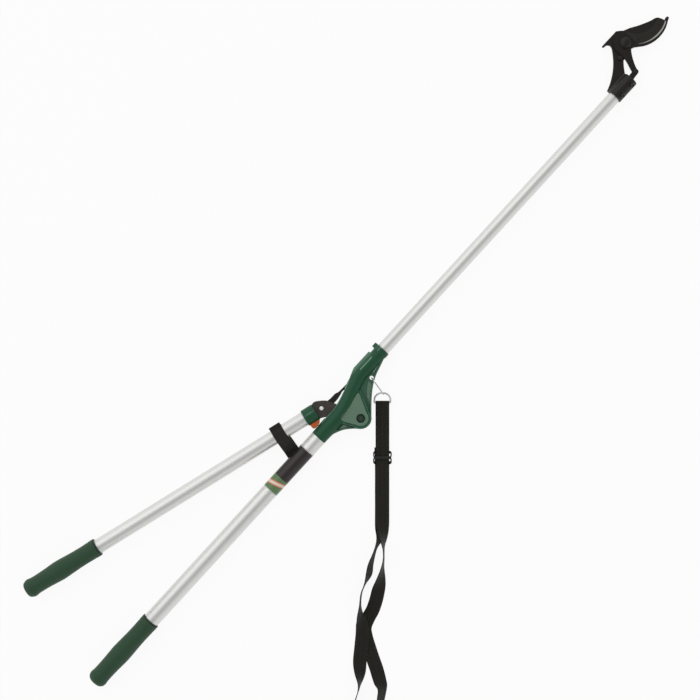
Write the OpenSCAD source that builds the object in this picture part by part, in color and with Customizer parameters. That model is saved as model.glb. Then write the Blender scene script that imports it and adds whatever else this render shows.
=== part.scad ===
// Long-reach tree pruner: a squeeze lever beside a fixed handle pulls a rod that closes a bypass blade.
// The tool lies on its back. X runs along the pole to the cutting head, Y towards the lever, Z up.
// The origin is the lever's pivot axis, on the surface that the tool lies on.

/* [Upper pole] */
// Outside diameter of the upper pole
pole_d = 22; // [20:0.5:24]
// Wall of the upper pole
pole_wall = 1.2; // [1:0.1:1.6]
// Distance of the pole's axis from the lever pivot
pole_y = 51; // [49:0.5:53]
// Length of pole seen between the housing and the head collar
pole_free = 581.5; // [300:0.5:900]
// Length of pole held in the housing's socket
socket_depth = 48; // [40:1:52]

/* [Fixed handle] */
// Outside diameter of the fixed handle tube
tube_d = 28; // [26:0.5:29]
// Wall of the fixed handle tube
tube_wall = 1.5; // [1.2:0.1:2]
// Distance of the fixed tube's axis from the lever pivot
tube_y = 30.5; // [29:0.5:32]
// Length of fixed tube seen between the housing and its grip
tube_free = 421; // [250:1:600]
// Length of the housing's spigot inside the fixed tube
spigot_len = 40; // [25:1:60]

/* [Lever] */
// Outside diameter of the lever tube
lever_d = 25; // [23:0.5:26]
// Wall of the lever tube
lever_wall = 1.2; // [1:0.1:1.6]
// Angle between the lever and the fixed handle with the blade shut
lever_splay = 15.73; // [15:0.01:17]
// Distance of the lever's axis from the lever pivot
lever_v = 49.3; // [48.5:0.1:50.5]
// Length of lever tube seen between the ferrule and its grip
lever_free = 414; // [250:1:600]
// Length of the ferrule
ferrule_len = 22; // [20:0.5:26]
// Outside diameter of the ferrule
ferrule_d = 29.6; // [29:0.1:31]

/* [Grips] */
// Length of each grip
grip_len = 143; // [120:1:170]
// Diameter of a grip at the palm swell, which rests on the surface
grip_palm_d = 34; // [33.5:0.5:38]
// Diameter of a grip at its waists
grip_waist_d = 31.6; // [31:0.1:33]

/* [Housing] */
// Distance from the lever pivot to the housing's rear neck
neck_reach = 73; // [68:0.5:85]
// Distance from the lever pivot to the mouth of the pole socket
socket_end = 112; // [108:0.5:120]
// Wall of the pole socket
socket_wall = 1.4; // [1.2:0.1:2]
// Half thickness of the pad around the lever pivot
pad_half = 11.5; // [11:0.1:12.5]
// Half thickness of the thin web of the fin
web_half = 3; // [2.5:0.1:4]
// Half thickness of the rim bead along the fin
rim_half = 5.5; // [5:0.1:5.8]
// Width of the rim bead
rim_w = 2.6; // [2:0.1:3.5]
// Radius of the fin's rounded corner at the lever pivot
fin_r = 18.5; // [17.5:0.1:20]

/* [Lever linkage] */
// Thickness of each lever arm plate
arm_t = 2.8; // [2.4:0.1:3]
// Gap between the two arm plates
arm_gap = 6.4; // [6:0.1:6.6]
// Thickness of the drive link
link_t = 5; // [4:0.1:5.4]
// Distance of the link rivet behind the lever pivot, along the lever
rivet_back = 47.8; // [47:0.1:49]
// Distance from the lever pivot to the rod's rear pin, along the pole
rod_rear = 46; // [45:0.5:47]
// Diameter of the pull rod
rod_d = 6; // [5:0.5:7]
// Diameter of the lever pivot bolt
pivot_d = 6; // [5:0.5:7]
// Diameter of the bush that the lever turns on
bush_d = 10; // [9:0.5:12]

/* [Cutting head] */
// Length of the head collar
collar_len = 41.5; // [36:0.5:48]
// Wall of the head collar
collar_wall = 1.8; // [1.5:0.1:2.4]
// Thickness of the hook plate
plate_t = 5; // [4:0.1:6]
// Thickness of the blade
blade_t = 4; // [3:0.1:5]
// Radius of the blade's round eye
eye_r = 20.5; // [19.5:0.1:21.5]
// Radius of the blade's curved cutting edge
edge_r = 53.5; // [52:0.1:55]
// Width of the ground bevel
bevel_w = 17; // [10:0.5:19]
// Diameter of the blade's pivot bolt
blade_bolt_d = 10; // [8:0.5:12]
// Diameter of the pivot bolt's domed head
dome_d = 19.6; // [17:0.1:21]
// Diameter of the stop pin
stop_d = 8.4; // [7:0.1:9]
// Thickness of each cheek of the clevis
cheek_t = 2.6; // [2:0.1:3]
// Distance between the clevis's two pins
clevis_len = 24; // [23:0.5:25]

/* [Strap] */
// Width of the carrying strap
strap_w = 23.5; // [20:0.5:25]
// Thickness of the webbing
strap_t = 1.4; // [1:0.1:1.6]
// Diameter of the D-ring's wire
ring_wire_d = 3; // [2.5:0.1:3.2]
// Width of the keeper band
keeper_w = 21; // [18:0.5:24]
// Thickness of the keeper band
keeper_t = 1.4; // [1:0.1:1.6]

/* [Clearances] */
// Gap between a pin and the hole it turns in
run_gap = 0.05; // [0.03:0.01:0.1]
// Gap between fixed pieces that slip together
fit_gap = 0.1; // [0.05:0.01:0.2]
// Gap between pieces that pass each other
pass_gap = 0.3; // [0.2:0.05:0.5]

/* [Hidden] */
$fn = 48;
eps = 0.01;

// Height of the tool's middle plane: the grips' palm swells touch the surface
mid = grip_palm_d / 2;
pole_r = pole_d / 2;
pole_bore = pole_r - pole_wall;
tube_r = tube_d / 2;
lever_r = lever_d / 2;
neck_x = -neck_reach;
pole_x = socket_end - socket_depth;

// Cutting head frame: rear end of the collar on the pole's axis
head = [socket_end + pole_free, pole_y, mid];
collar_gap = 0.4;
collar_r = pole_r + collar_gap + collar_wall;
pole_setback = 5;
pole_len = head.x + collar_len - pole_setback - pole_x;

// Lever arm stack, symmetrical about the middle plane
arm_in = arm_gap / 2;
arm_out = arm_in + arm_t;
slot_half = arm_out + 0.5;
arm_boss_r = 11;
slot_r = arm_boss_r + 1.5;

// Places on the lever, in the lever's own frame
ferrule_front = -59;
ferrule_wall = 6;
rivet = [-rivet_back, lever_v];
rivet_d = 6;
lever_tube_front = ferrule_front - ferrule_wall;
lever_grip_front = ferrule_front - ferrule_len - lever_free;

// Rod, yoke and clevis: loose holes take up what the guided rod can't follow
yoke_pin_d = 4;
yoke_slack = 1.9;
end_pin_d = 3.2;
end_slack = 2.2;
rod_pin_seat = 10;

// Head places, in the head's frame
blade_pivot = [81, 48];
tail = [55.5, 2.2];
tail_r = 4.7;
tail_pin_d = 6;
rod_front = tail.x - sqrt(clevis_len * clevis_len - tail.y * tail.y);
edge_c = [131.5, 15.8 + edge_r];
layer_gap = 0.15;
plate_top = -blade_t / 2 - layer_gap;
plate_mid_z = plate_top - plate_t / 2;
cheek_in = blade_t / 2 + pass_gap;
cheek_out = cheek_in + cheek_t;

// Strap frame: middle of the D-ring's bar, x across the strap and y back up the strap
strap_at = [44, -10];
strap_turn = -47.5;
strap_hole = [63, 32.6];
hole_r = 3.5;
bar_z = 1 + strap_t / 2 + 1.3 + ring_wire_d / 2;
low_z = 3.4;
high_z = low_z + strap_t + 0.4;
// Radius at which the webbing's middle turns round the D-ring's bar
bar_wrap = ring_wire_d / 2 + 0.5 + strap_t / 2;

// Colours as seen
dark_green = "#1d4a35";
pale_green = "#5f7f70";
grip_green = "#2c4d3a";
bare_alu = "#d4d8d8";
black_steel = "#2b2b2c";
bright_steel = "#c9ccce";
orange_rubber = "#c8601f";
black_web = "#23221f";

// Point helpers

function arc(c, r, from, to, n = 10) =
    [for (i = [0:n]) let (a = from + (to - from) * i / n) c + r * [cos(a), sin(a)]];

// Point at t on the smooth curve between b and c
function spline_at(a, b, c, d, t) =
    0.5 * (2 * b + (c - a) * t + (2 * a - 5 * b + 4 * c - d) * t * t + (3 * b - a - 3 * c + d) * t * t * t);

// Smooth open curve through all the points
function smooth(p, n = 6) = let (last = len(p) - 1) concat(
    [for (i = [0:last - 1], j = [0:n - 1])
        spline_at(p[max(i - 1, 0)], p[i], p[i + 1], p[min(i + 2, last)], j / n)],
    [p[last]]);

function unit(v) = v / norm(v);

// Open path moved to its left by d, and back to its start
function beside(p, d) = let (n = len(p) - 1)
    [for (i = [n:-1:0]) let (along = unit(p[min(i + 1, n)] - p[max(i - 1, 0)]))
        p[i] + d * [-along.y, along.x]];

// Closed outline moved inwards by d, for outlines that run anticlockwise
function inset(p, d) = let (n = len(p))
    [for (i = [0:n - 1]) let (along = unit(p[(i + 1) % n] - p[(i + n - 1) % n]))
        p[i] + d * [-along.y, along.x]];

function rise(t) = let (u = min(max(t, 0), 1)) u * u * (3 - 2 * u);

// Solid through a list of rings with equal numbers of points
module loft(rings) {
    n = len(rings[0]);
    m = len(rings);
    sides = [for (i = [0:m - 2], j = [0:n - 1]) let (k = (j + 1) % n)
        each [[i * n + j, i * n + k, (i + 1) * n + k], [i * n + j, (i + 1) * n + k, (i + 1) * n + j]]];
    ends = [[for (j = [n - 1:-1:0]) j], [for (j = [0:n - 1]) (m - 1) * n + j]];
    polyhedron([for (r = rings) each r], concat(sides, ends), convexity = 6);
}

// Frames

module at_mid() { translate([0, 0, mid]) children(); }

module along_x(at) { translate(at) rotate([0, 90, 0]) children(); }

module on_lever() { translate([0, 0, mid]) rotate(-lever_splay) children(); }

module on_head() { translate(head) children(); }

module on_strap() { translate(strap_at) rotate(strap_turn) children(); }

// Plate between two heights, with each outline given to it
module slab(from, to) {
    for (i = [0:$children - 1]) translate([0, 0, from]) linear_extrude(to - from, convexity = 6) children(i);
}

module tube(r, bore, len) {
    difference() {
        cylinder(r = r, h = len);
        translate([0, 0, -1]) cylinder(r = bore, h = len + 2);
    }
}

// Cutting head

stem_back = smooth([[0, collar_r + 2.5], [13.5, 20.8], [29.5, 29.8], [43.5, 41], [54.5, 53], [59.3, 60],
    [59.6, 65], [56.5, 69]], 5);
spur = [[51, 69.8], [49.3, 71.4], [50.2, 73.5], [85, 73.3], [88.5, 70.5], [93.5, 66]];
jaw_in = smooth([[93.5, 66], [98, 48], [104, 35.5], [113, 27.5], [125, 23], [138, 22.3], [150, 24],
    [160, 27]]);
hook_tip = [[163.2, 26], [163.6, 22.5]];
hook_out = arc([129.5, 66], 54, -58, -132, 16);
stem_front = [[86.5, 31.6], [80, 34.3], [57, 30], [50, 23], [collar_len, 12.5], [collar_len, 8], [0, 8]];

module plate_outline() { polygon(concat(stem_back, spur, jaw_in, hook_tip, hook_out, stem_front)); }

module hook_plate() {
    color(black_steel) on_head() difference() {
        slab(plate_top - plate_t, plate_top) plate_outline();
        along_x([-1, 0, 0]) cylinder(r = collar_r, h = collar_len + 2);
        translate(concat(blade_pivot, [-mid])) cylinder(d = blade_bolt_d + 2 * run_gap, h = 2 * mid);
        translate([stop_x, stop_y, -mid]) cylinder(d = stop_d / 2 + 2 * fit_gap, h = 2 * mid);
    }
}

module head_collar() {
    color(black_steel) on_head() difference() {
        along_x([0, 0, 0]) tube(collar_r, pole_r + collar_gap, collar_len);
        collar_screw_places() cylinder(d = screw_d + 2 * fit_gap, h = collar_r + 5);
    }
}

module weld_beads() {
    bead_r = 2;
    ends_in = 1.5;
    color(black_steel) on_head() difference() {
        for (z = [plate_top, plate_top - plate_t])
            along_x([ends_in, sqrt(collar_r * collar_r - z * z) + 0.5, z])
                cylinder(r = bead_r, h = collar_len - 2 * ends_in);
        along_x([-1, 0, 0]) cylinder(r = collar_r, h = collar_len + 2);
        translate([-1, 0, plate_top - plate_t]) cube([collar_len + 2, 30, plate_t]);
    }
}

// The stop pin meets the blade's straight left side
stop_x = blade_pivot.x - eye_r - pass_gap - stop_d / 2;
stop_y = 37;

module stop_pin() {
    stop_h = blade_t + 1.5;
    color(black_steel) on_head() translate([stop_x, stop_y, 0]) {
        translate([0, 0, plate_top]) cylinder(d = stop_d, h = stop_h - 1);
        translate([0, 0, plate_top + stop_h - 1]) cylinder(d1 = stop_d, d2 = stop_d - 2, h = 1);
        translate([0, 0, plate_top - plate_t]) cylinder(d = stop_d / 2, h = plate_t + eps);
    }
}

washer_t = 1.2;
washer_z = blade_t / 2 + layer_gap;
dome_h = 5.5;
// Radius of the sphere that the dome is a cap of
dome_sphere = (dome_d * dome_d / 4 + dome_h * dome_h) / (2 * dome_h);
bolt_tip = -mid;

module blade_pivot_bolt() {
    color(black_steel) on_head() translate(blade_pivot) {
        intersection() {
            translate([0, 0, washer_z + washer_t + dome_h - dome_sphere]) sphere(r = dome_sphere);
            translate([0, 0, washer_z + washer_t]) cylinder(d = dome_d, h = dome_h + 1);
        }
        translate([0, 0, bolt_tip]) cylinder(d = blade_bolt_d, h = washer_z + washer_t - bolt_tip + eps);
    }
}

module blade_pivot_washer() {
    color(black_steel) on_head() translate(concat(blade_pivot, [washer_z]))
        tube(dome_d / 2 + 1, blade_bolt_d / 2 + fit_gap, washer_t);
}

module hex(flats, h) { cylinder(d = flats / cos(30), h = h, $fn = 6); }

module blade_pivot_nut() {
    nut_h = 8;
    color(black_steel) on_head() translate(concat(blade_pivot, [plate_top - plate_t - nut_h])) difference() {
        hex(blade_bolt_d + 6, nut_h);
        translate([0, 0, -1]) cylinder(d = blade_bolt_d + 2 * fit_gap, h = nut_h + 2);
    }
}

screw_d = 4;
screw_lean = 40;

module collar_screw_places() {
    for (x = [9.5, 33]) translate([x, 0, 0]) rotate([screw_lean, 0, 0]) children();
}

module collar_screws() {
    head_h = 2.2;
    color(black_steel) on_head() collar_screw_places() {
        translate([0, 0, collar_r]) cylinder(r = 5, h = 0.8);
        translate([0, 0, collar_r + 0.8]) cylinder(r = 3.9, h = head_h - 0.7);
        translate([0, 0, collar_r + 0.1 + head_h]) cylinder(r1 = 3.9, r2 = 3, h = 0.7);
        translate([0, 0, pole_bore - 1.5]) cylinder(d = screw_d, h = collar_r - pole_bore + 1.5 + eps);
    }
}

blade_top = smooth([[105, 59.3], [116.5, 52.2], [126.5, 47], [136.5, 42.4], [145, 39.6], [149.5, 36.5],
    [153, 30], [154.8, 24]], 4);
blade_edge = arc(edge_c, edge_r, -64.2, -134.8, 18);
tail_right = smooth([[80, 34.3], [75, 29.2], [69, 20.5], [64, 11.5], [tail.x + tail_r, tail.y]], 4);
tail_left = smooth([[tail.x - tail_r, tail.y + 1], [53.5, 12], [57.4, 23], [blade_pivot.x - eye_r, 35]], 4);
blade_outline = concat(blade_top, blade_edge, tail_right, tail_left, arc(blade_pivot, eye_r, 180, 60, 14));

// Hollow left by grinding the front face down to the curved cutting edge, with a fine final bevel
module bevel_cut() {
    edge_t = 0.4;
    fine_w = 2.8;
    fine_t = 1.5;
    translate(edge_c) rotate(-136) rotate_extrude(angle = 80, convexity = 4)
        polygon([[edge_r - bevel_w, blade_t / 2 + eps], [edge_r - fine_w, fine_t - blade_t / 2],
            [edge_r, edge_t - blade_t / 2], [edge_r + 5, edge_t - blade_t / 2],
            [edge_r + 5, blade_t / 2 + eps]]);
}

module blade() {
    color(black_steel) on_head() difference() {
        slab(-blade_t / 2, blade_t / 2) {
            polygon(blade_outline);
            translate(tail) circle(r = tail_r);
        }
        bevel_cut();
        translate(concat(blade_pivot, [-mid])) cylinder(d = blade_bolt_d + 2 * run_gap, h = 2 * mid);
        translate(concat(tail, [-mid])) cylinder(d = tail_pin_d + 2 * fit_gap, h = 2 * mid);
    }
}

module tail_pin() {
    pin_head = 1.4;
    pin_out = cheek_out + 0.1;
    color(black_steel) on_head() translate(tail) {
        translate([0, 0, -pin_out]) cylinder(d = tail_pin_d, h = 2 * pin_out);
        for (s = [0, 1]) mirror([0, 0, s]) translate([0, 0, pin_out])
            cylinder(r1 = 4.2, r2 = 3.4, h = pin_head);
    }
}

module clevis() {
    rear_r = end_pin_d / 2 + end_slack + 1.2;
    web_from = rod_front + 7;
    web_len = 7;
    color(black_steel) on_head() difference() {
        union() {
            for (z = [-cheek_out, cheek_in]) slab(z, z + cheek_t) {
                translate(tail) circle(r = tail_r + 0.1);
                translate([rod_front, 0]) circle(r = rear_r);
                polygon([[rod_front, rear_r], [rod_front, -rear_r], tail - [0, tail_r], tail + [0, tail_r]]);
            }
            translate([web_from, -3.6, -cheek_out]) cube([web_len, 3.4, 2 * cheek_out]);
        }
        translate(concat(tail, [-mid])) cylinder(d = tail_pin_d + 2 * run_gap, h = 2 * mid);
        translate([rod_front, 0, -mid]) cylinder(d = end_pin_d + 2 * end_slack, h = 2 * mid);
    }
}

// Pole and rod

module upper_pole() {
    color(bare_alu) difference() {
        along_x([pole_x, pole_y, mid]) tube(pole_r, pole_bore, pole_len);
        on_head() collar_screw_places() cylinder(d = screw_d + 2 * fit_gap, h = collar_r + 5);
    }
}

module rod_guides() {
    guides = 3;
    guide_len = 10;
    color("#e8e4da") for (i = [1:guides])
        along_x([pole_x + 30 + (pole_free - 30) * i / (guides + 1), pole_y, mid])
            tube(pole_bore - fit_gap, rod_d / 2 + fit_gap, guide_len);
}

// The rod's two end fittings leave this much of the distance between their pins
module pull_rod() {
    color(bright_steel) along_x([rod_rear + rod_pin_seat, pole_y, mid])
        cylinder(d = rod_d, h = head.x + rod_front - rod_rear - 2 * rod_pin_seat);
}

yoke_out = link_t / 2 + pass_gap + 2.5;
yoke_h = 9;
yoke_back = 4;

module rod_yoke() {
    socket_len = 14;
    color(bright_steel) translate([rod_rear, pole_y, mid]) difference() {
        union() {
            translate([-yoke_back, -yoke_h / 2, -yoke_out])
                cube([yoke_back + rod_pin_seat, yoke_h, 2 * yoke_out]);
            along_x([rod_pin_seat - eps, 0, 0]) cylinder(d = rod_d + 4, h = socket_len);
        }
        translate([-yoke_back - 1, -yoke_h, -link_t / 2 - pass_gap])
            cube([yoke_back + rod_pin_seat, 2 * yoke_h, link_t + 2 * pass_gap]);
        along_x([rod_pin_seat - eps, 0, 0]) cylinder(d = rod_d + 2 * fit_gap, h = socket_len + 1);
        translate([0, 0, -mid]) cylinder(d = yoke_pin_d + 2 * fit_gap, h = 2 * mid);
    }
}

module yoke_pin() {
    color(bright_steel) translate([rod_rear, pole_y, mid - yoke_out])
        cylinder(d = yoke_pin_d, h = 2 * yoke_out);
}

module rod_end() {
    tongue_h = 6.4;
    socket_len = 12;
    color(bright_steel) translate([head.x + rod_front, pole_y, mid]) difference() {
        union() {
            translate([-rod_pin_seat, -tongue_h / 2, -blade_t / 2])
                cube([rod_pin_seat + tongue_h / 2, tongue_h, blade_t]);
            along_x([-rod_pin_seat - socket_len, 0, 0]) cylinder(d = rod_d + 3, h = socket_len + eps);
        }
        along_x([-rod_pin_seat - socket_len - 1, 0, 0]) cylinder(d = rod_d + 2 * fit_gap, h = socket_len + 1);
        translate([0, 0, -mid]) cylinder(d = end_pin_d + 2 * fit_gap, h = 2 * mid);
    }
}

module rod_end_pin() {
    color(bright_steel) translate([head.x + rod_front, pole_y, mid - cheek_out])
        cylinder(d = end_pin_d, h = 2 * cheek_out);
}

// Housing

// Body of the housing: round sections that sweep from the fixed tube's axis up to the pole's
body_swell = 1.5;
bend_from = -25;
bend_to = 62;
function body_y(x) = tube_y + (pole_y - tube_y) * rise((x - bend_from) / (bend_to - bend_from));
socket_r = pole_r + socket_wall;
function body_r(x) = tube_r + (socket_r - tube_r) * rise((x - bend_from) / (bend_to - bend_from))
    + body_swell * rise((x - neck_x) / 50) * (1 - rise((x - 15) / 45));

module body_solid() {
    steps = 28;
    sides = 36;
    along = [for (i = [0:steps]) neck_x + (bend_to - neck_x) * i / steps];
    loft([for (x = concat(along, [socket_end - 1]))
        [for (j = [0:sides - 1]) let (a = -360 * (j + 0.5) / sides)
            [x, body_y(x) + body_r(x) * cos(a), body_r(x) * sin(a)]]]);
}

// Outer edge of the fin: from the neck round the pivot and up to the socket
fin_left = smooth([[-62, 19.5], [-50, 15.5], [-34, 7.8], [-20.5, -4]], 5);
fin_corner = arc([0, 0], fin_r, 217, 324, 12);
fin_right = smooth([[20, -6.5], [35, 7], [53, 20.5], [70, pole_y - 21.5], [88, pole_y - 16],
    [102, pole_y - 11.5]], 5);
fin_edge = concat(fin_left, fin_corner, fin_right);
fin_outline = concat(fin_edge, [[101, pole_y - 6], [55, pole_y - 2], [30, 41], [0, 33], [-62, tube_y]]);

// Pale strip in the fin's web, inside the rim
panel_low = [for (i = [3:11]) fin_right[i]];
panel_top = smooth([[28.5, 6], [34.5, 16], [45.8, 27], [56.5, 33]], 4);
panel_outline = concat(beside(panel_low, rim_w + 0.2), panel_top);
panel_t = 0.6;

inlay_outline = concat(arc([0, 0], 13, 190, 350, 14), [[20.5, 13]], arc([26.5, 30.5], 2.5, -15, 100, 5),
    [[5, 28]], arc([-20.5, 21.5], 4.3, 95, 205, 6));
inlay_depth = 1.2;
inlay_t = 1.6;
pad_margin = 4;

// Flat keel over the drive link, with a bevelled edge, and a ridge beside it on the socket
keel_top = pole_y + 15.5;
keel_half = 7.5;
keel_bevel = 1.4;
keel_to = 93;
keel_outline = [[50, 46], [keel_to, pole_y], [keel_to, keel_top], [55, keel_top], [50, pole_y + 14],
    [40, pole_y + 10], [29, 56.2], [24, 46]];
ridge_from = 60;
ridge_to = 90;
ridge_r = 1.3;
ridge_up = 25;

module keel() {
    hull() {
        slab(keel_bevel - keel_half, keel_half - keel_bevel) polygon(keel_outline);
        slab(-keel_half, keel_half) polygon(inset(keel_outline, keel_bevel));
    }
    for (s = [0, 1]) mirror([0, 0, s]) translate([0, pole_y, 0]) rotate([-ridge_up, 0, 0]) hull()
        for (x = [ridge_from, ridge_to]) translate([x, 0, socket_r - ridge_r / 4])
            sphere(r = ridge_r, $fn = 20);
}

lug_from = 103;
lug_top = pole_y + 17.5;
lug_half = 5;

nut_recess_r = 7.5;
recess_floor = slot_half + 2.2;
pivot_back = mid - pad_half;

web_screw = [33, 20];
shell_screws = [[neck_x + 14, tube_y], web_screw, [lug_from + 5, pole_y + 14.7]];
shell_screw_d = 3;

module housing_solid() {
    body_solid();
    slab(-web_half, web_half) polygon(fin_outline);
    slab(-rim_half, rim_half) polygon(concat(fin_edge, beside(fin_edge, rim_w)));
    slab(-pad_half, pad_half) polygon(inset(inlay_outline, -pad_margin));
    keel();
    translate(concat(web_screw, [-screw_seat])) cylinder(r = screw_head_r + 1, h = screw_seat);
    along_x([lug_from, pole_y, 0]) cylinder(r = socket_r + 0.7, h = socket_end - lug_from);
    translate([lug_from, pole_y, -lug_half]) cube([socket_end - lug_from, lug_top - pole_y, 2 * lug_half]);
    along_x([neck_x - spigot_len, tube_y, 0])
        cylinder(r = tube_r - tube_wall - fit_gap, h = spigot_len + eps);
}

// Space in which the lever arms and the drive link swing
module swing_slot() {
    slab(-slot_half, slot_half) {
        circle(r = slot_r);
        polygon([[slot_r, -1], [slot_r, 24], [18, 48], [21, 75], [-65, 75], [-60, 62], [-40, 43], [-26, 24.5],
            [-slot_r, -1]]);
    }
    slab(-link_t / 2 - 0.8, link_t / 2 + 0.8)
        polygon([[10, 44], [30, 42], [pole_x - 6, pole_y - 8], [pole_x - 6, pole_y + 9], [50, 63.5], [42, 68],
            [20, 74]]);
    yoke_from = rod_rear - yoke_back - 1;
    along_x([yoke_from, pole_y, 0]) cylinder(r = pole_bore - 0.6, h = pole_x - yoke_from + 1);
}

module housing_cuts() {
    swing_slot();
    along_x([pole_x, pole_y, 0]) cylinder(r = pole_r + fit_gap, h = socket_depth + 1);
    translate([0, 0, -mid]) cylinder(d = pivot_d + 2 * fit_gap, h = 2 * mid);
    translate([0, 0, recess_floor]) cylinder(r = nut_recess_r, h = mid);
    for (s = [0, 1]) mirror([0, 0, s]) slab(pad_half - inlay_depth, mid) polygon(inlay_outline);
    translate(concat(strap_hole, [-mid])) cylinder(r = hole_r, h = 2 * mid);
    for (p = shell_screws) translate(concat(p, [-mid]))
        cylinder(d = shell_screw_d + 2 * fit_gap, h = mid + screw_reach);
    along_x([neck_x - spigot_len - 1, tube_y, 0]) tube_pin_places()
        cylinder(d = 3 + 2 * fit_gap, h = 2 * mid);
}

module housing_half(side) {
    color(dark_green) at_mid() difference() {
        intersection() {
            housing_solid();
            translate([-pole_len, -pole_len, side > 0 ? 0 : -2 * mid])
                cube([2 * pole_len, 2 * pole_len, 2 * mid]);
        }
        housing_cuts();
        for (p = shell_screws) translate(concat(p, [-screw_seat - mid]))
            cylinder(r = screw_head_r + pass_gap, h = mid);
    }
}

module housing_front() { housing_half(1); }

module housing_back() { housing_half(-1); }

module inlay() {
    difference() {
        slab(pad_half - inlay_depth, pad_half - inlay_depth + inlay_t) polygon(inset(inlay_outline, fit_gap));
        translate([0, 0, -mid]) cylinder(r = nut_recess_r, h = 3 * mid);
    }
}

module inlay_front() { color(pale_green) at_mid() inlay(); }

module inlay_back() { color(pale_green) at_mid() mirror([0, 0, 1]) inlay(); }

module fin_panel() { slab(web_half, web_half + panel_t) polygon(panel_outline); }

module fin_panel_front() { color(pale_green) at_mid() fin_panel(); }

module fin_panel_back() { color(pale_green) at_mid() mirror([0, 0, 1]) fin_panel(); }

pivot_head_h = 4;

module lever_pivot_bolt() {
    tip = mid + recess_floor + pivot_nut_h + 0.6;
    color(black_steel) {
        hex(pivot_d + 4, pivot_head_h);
        cylinder(d = pivot_d, h = tip);
    }
}

module lever_pivot_washer() {
    color(bright_steel) translate([0, 0, pivot_head_h])
        tube(nut_recess_r - 0.3, pivot_d / 2 + fit_gap, pivot_back - pivot_head_h + inlay_depth);
}

pivot_nut_h = 6;

module lever_pivot_nut() {
    color(black_steel) translate([0, 0, mid + recess_floor]) difference() {
        union() {
            hex(pivot_d + 4, pivot_nut_h - 1.5);
            cylinder(d = pivot_d + 3.6, h = pivot_nut_h);
        }
        translate([0, 0, -1]) cylinder(d = pivot_d + 2 * fit_gap, h = pivot_nut_h + 2);
    }
}

module pivot_bush() {
    color(bright_steel) translate([0, 0, mid - slot_half + fit_gap])
        tube(bush_d / 2, pivot_d / 2 + fit_gap, 2 * (slot_half - fit_gap));
}

screw_head_r = 2.8;
screw_head_h = 1.8;
screw_reach = 2;
// Distance of a shell screw's seat behind the middle plane
screw_seat = 4;

module housing_screws() {
    color(black_steel) for (p = shell_screws) translate(concat(p, [mid]))
        rotate([180, 0, 0]) {
            translate([0, 0, -screw_reach]) cylinder(d = shell_screw_d, h = screw_reach + screw_seat + eps);
            translate([0, 0, screw_seat]) cylinder(r = screw_head_r, h = screw_head_h);
        }
}

// Fixed handle

module fixed_tube() {
    tube_len = tube_free + grip_len - grip_end_wall;
    color(bare_alu) difference() {
        along_x([neck_x - tube_len, tube_y, mid]) tube(tube_r, tube_r - tube_wall, tube_len);
        along_x([neck_x - spigot_len - 1, tube_y, mid]) tube_pin_places()
            cylinder(d = 3 + 2 * fit_gap, h = 2 * mid);
    }
}

// Two pins through the tube and the spigot from the back, along the handle
module tube_pin_places() {
    for (x = [16, 32]) translate([0, 0, x]) rotate([0, 90, 0]) children();
}

module fixed_tube_pins() {
    pin_head = 1;
    color(bright_steel) along_x([neck_x - spigot_len - 1, tube_y, mid]) tube_pin_places() {
        translate([0, 0, 4]) cylinder(d = 3, h = tube_r - 4 + eps);
        translate([0, 0, tube_r]) cylinder(r1 = 2.8, r2 = 1.8, h = pin_head);
    }
}

grip_end_wall = 6;

// Grip profile from its open front to its rounded end, as distance and radius
module grip_profile(bore) {
    palm = grip_palm_d / 2;
    waist = grip_waist_d / 2;
    lip = waist + 0.6;
    outside = smooth([[0, lip - 0.5], [2, lip], [9, lip - 0.1], [24, waist], [55, waist + 0.5], [84, palm],
        [106, waist + 0.4], [120, waist], [131, lip + 0.2], [138, lip - 1.6], [141.8, lip - 5],
        [143, lip - 9]], 4);
    stretch = grip_len / 143;
    polygon(concat([[bore, 0]], [for (p = outside) [p.y, p.x * stretch]],
        [[0, grip_len], [0, grip_len - grip_end_wall], [bore, grip_len - grip_end_wall]]));
}

module grip(at, tube_radius) {
    color(grip_green) translate(at) rotate([0, -90, 0]) rotate_extrude(convexity = 4)
        grip_profile(tube_radius + fit_gap);
}

module fixed_grip() { grip([neck_x - tube_free, tube_y, mid], tube_r); }

module tube_label() {
    label_t = 0.2;
    label_len = 93;
    label_from = 28;
    color("#222421") along_x([neck_x - label_from - label_len, tube_y, mid])
        tube(tube_r + label_t, tube_r, label_len);
}

// Lever

module lever_tube() {
    tube_len = lever_tube_front - lever_grip_front + grip_len - grip_end_wall;
    color(bare_alu) on_lever() difference() {
        along_x([lever_tube_front - tube_len, lever_v, 0]) tube(lever_r, lever_r - lever_wall, tube_len);
        arm_pin_hole();
    }
}

module lever_grip() { on_lever() grip([lever_grip_front, lever_v, 0], lever_r); }

module lever_ferrule() {
    round_over = 1;
    color(dark_green) on_lever() difference() {
        along_x([ferrule_front - ferrule_len, lever_v, 0]) {
            cylinder(d = ferrule_d, h = ferrule_len - round_over);
            translate([0, 0, ferrule_len - round_over - eps])
                cylinder(d1 = ferrule_d, d2 = ferrule_d - 2 * round_over, h = round_over);
        }
        along_x([ferrule_front - ferrule_len - 1, lever_v, 0])
            cylinder(r = lever_r + fit_gap, h = ferrule_len - ferrule_wall + 1);
        translate([ferrule_front - ferrule_len, lever_v - tang_half - fit_gap, -arm_out - fit_gap])
            cube([ferrule_len + 1, 2 * (tang_half + fit_gap), 2 * (arm_out + fit_gap)]);
    }
}

tang_half = 8;
tang_len = 46;
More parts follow.
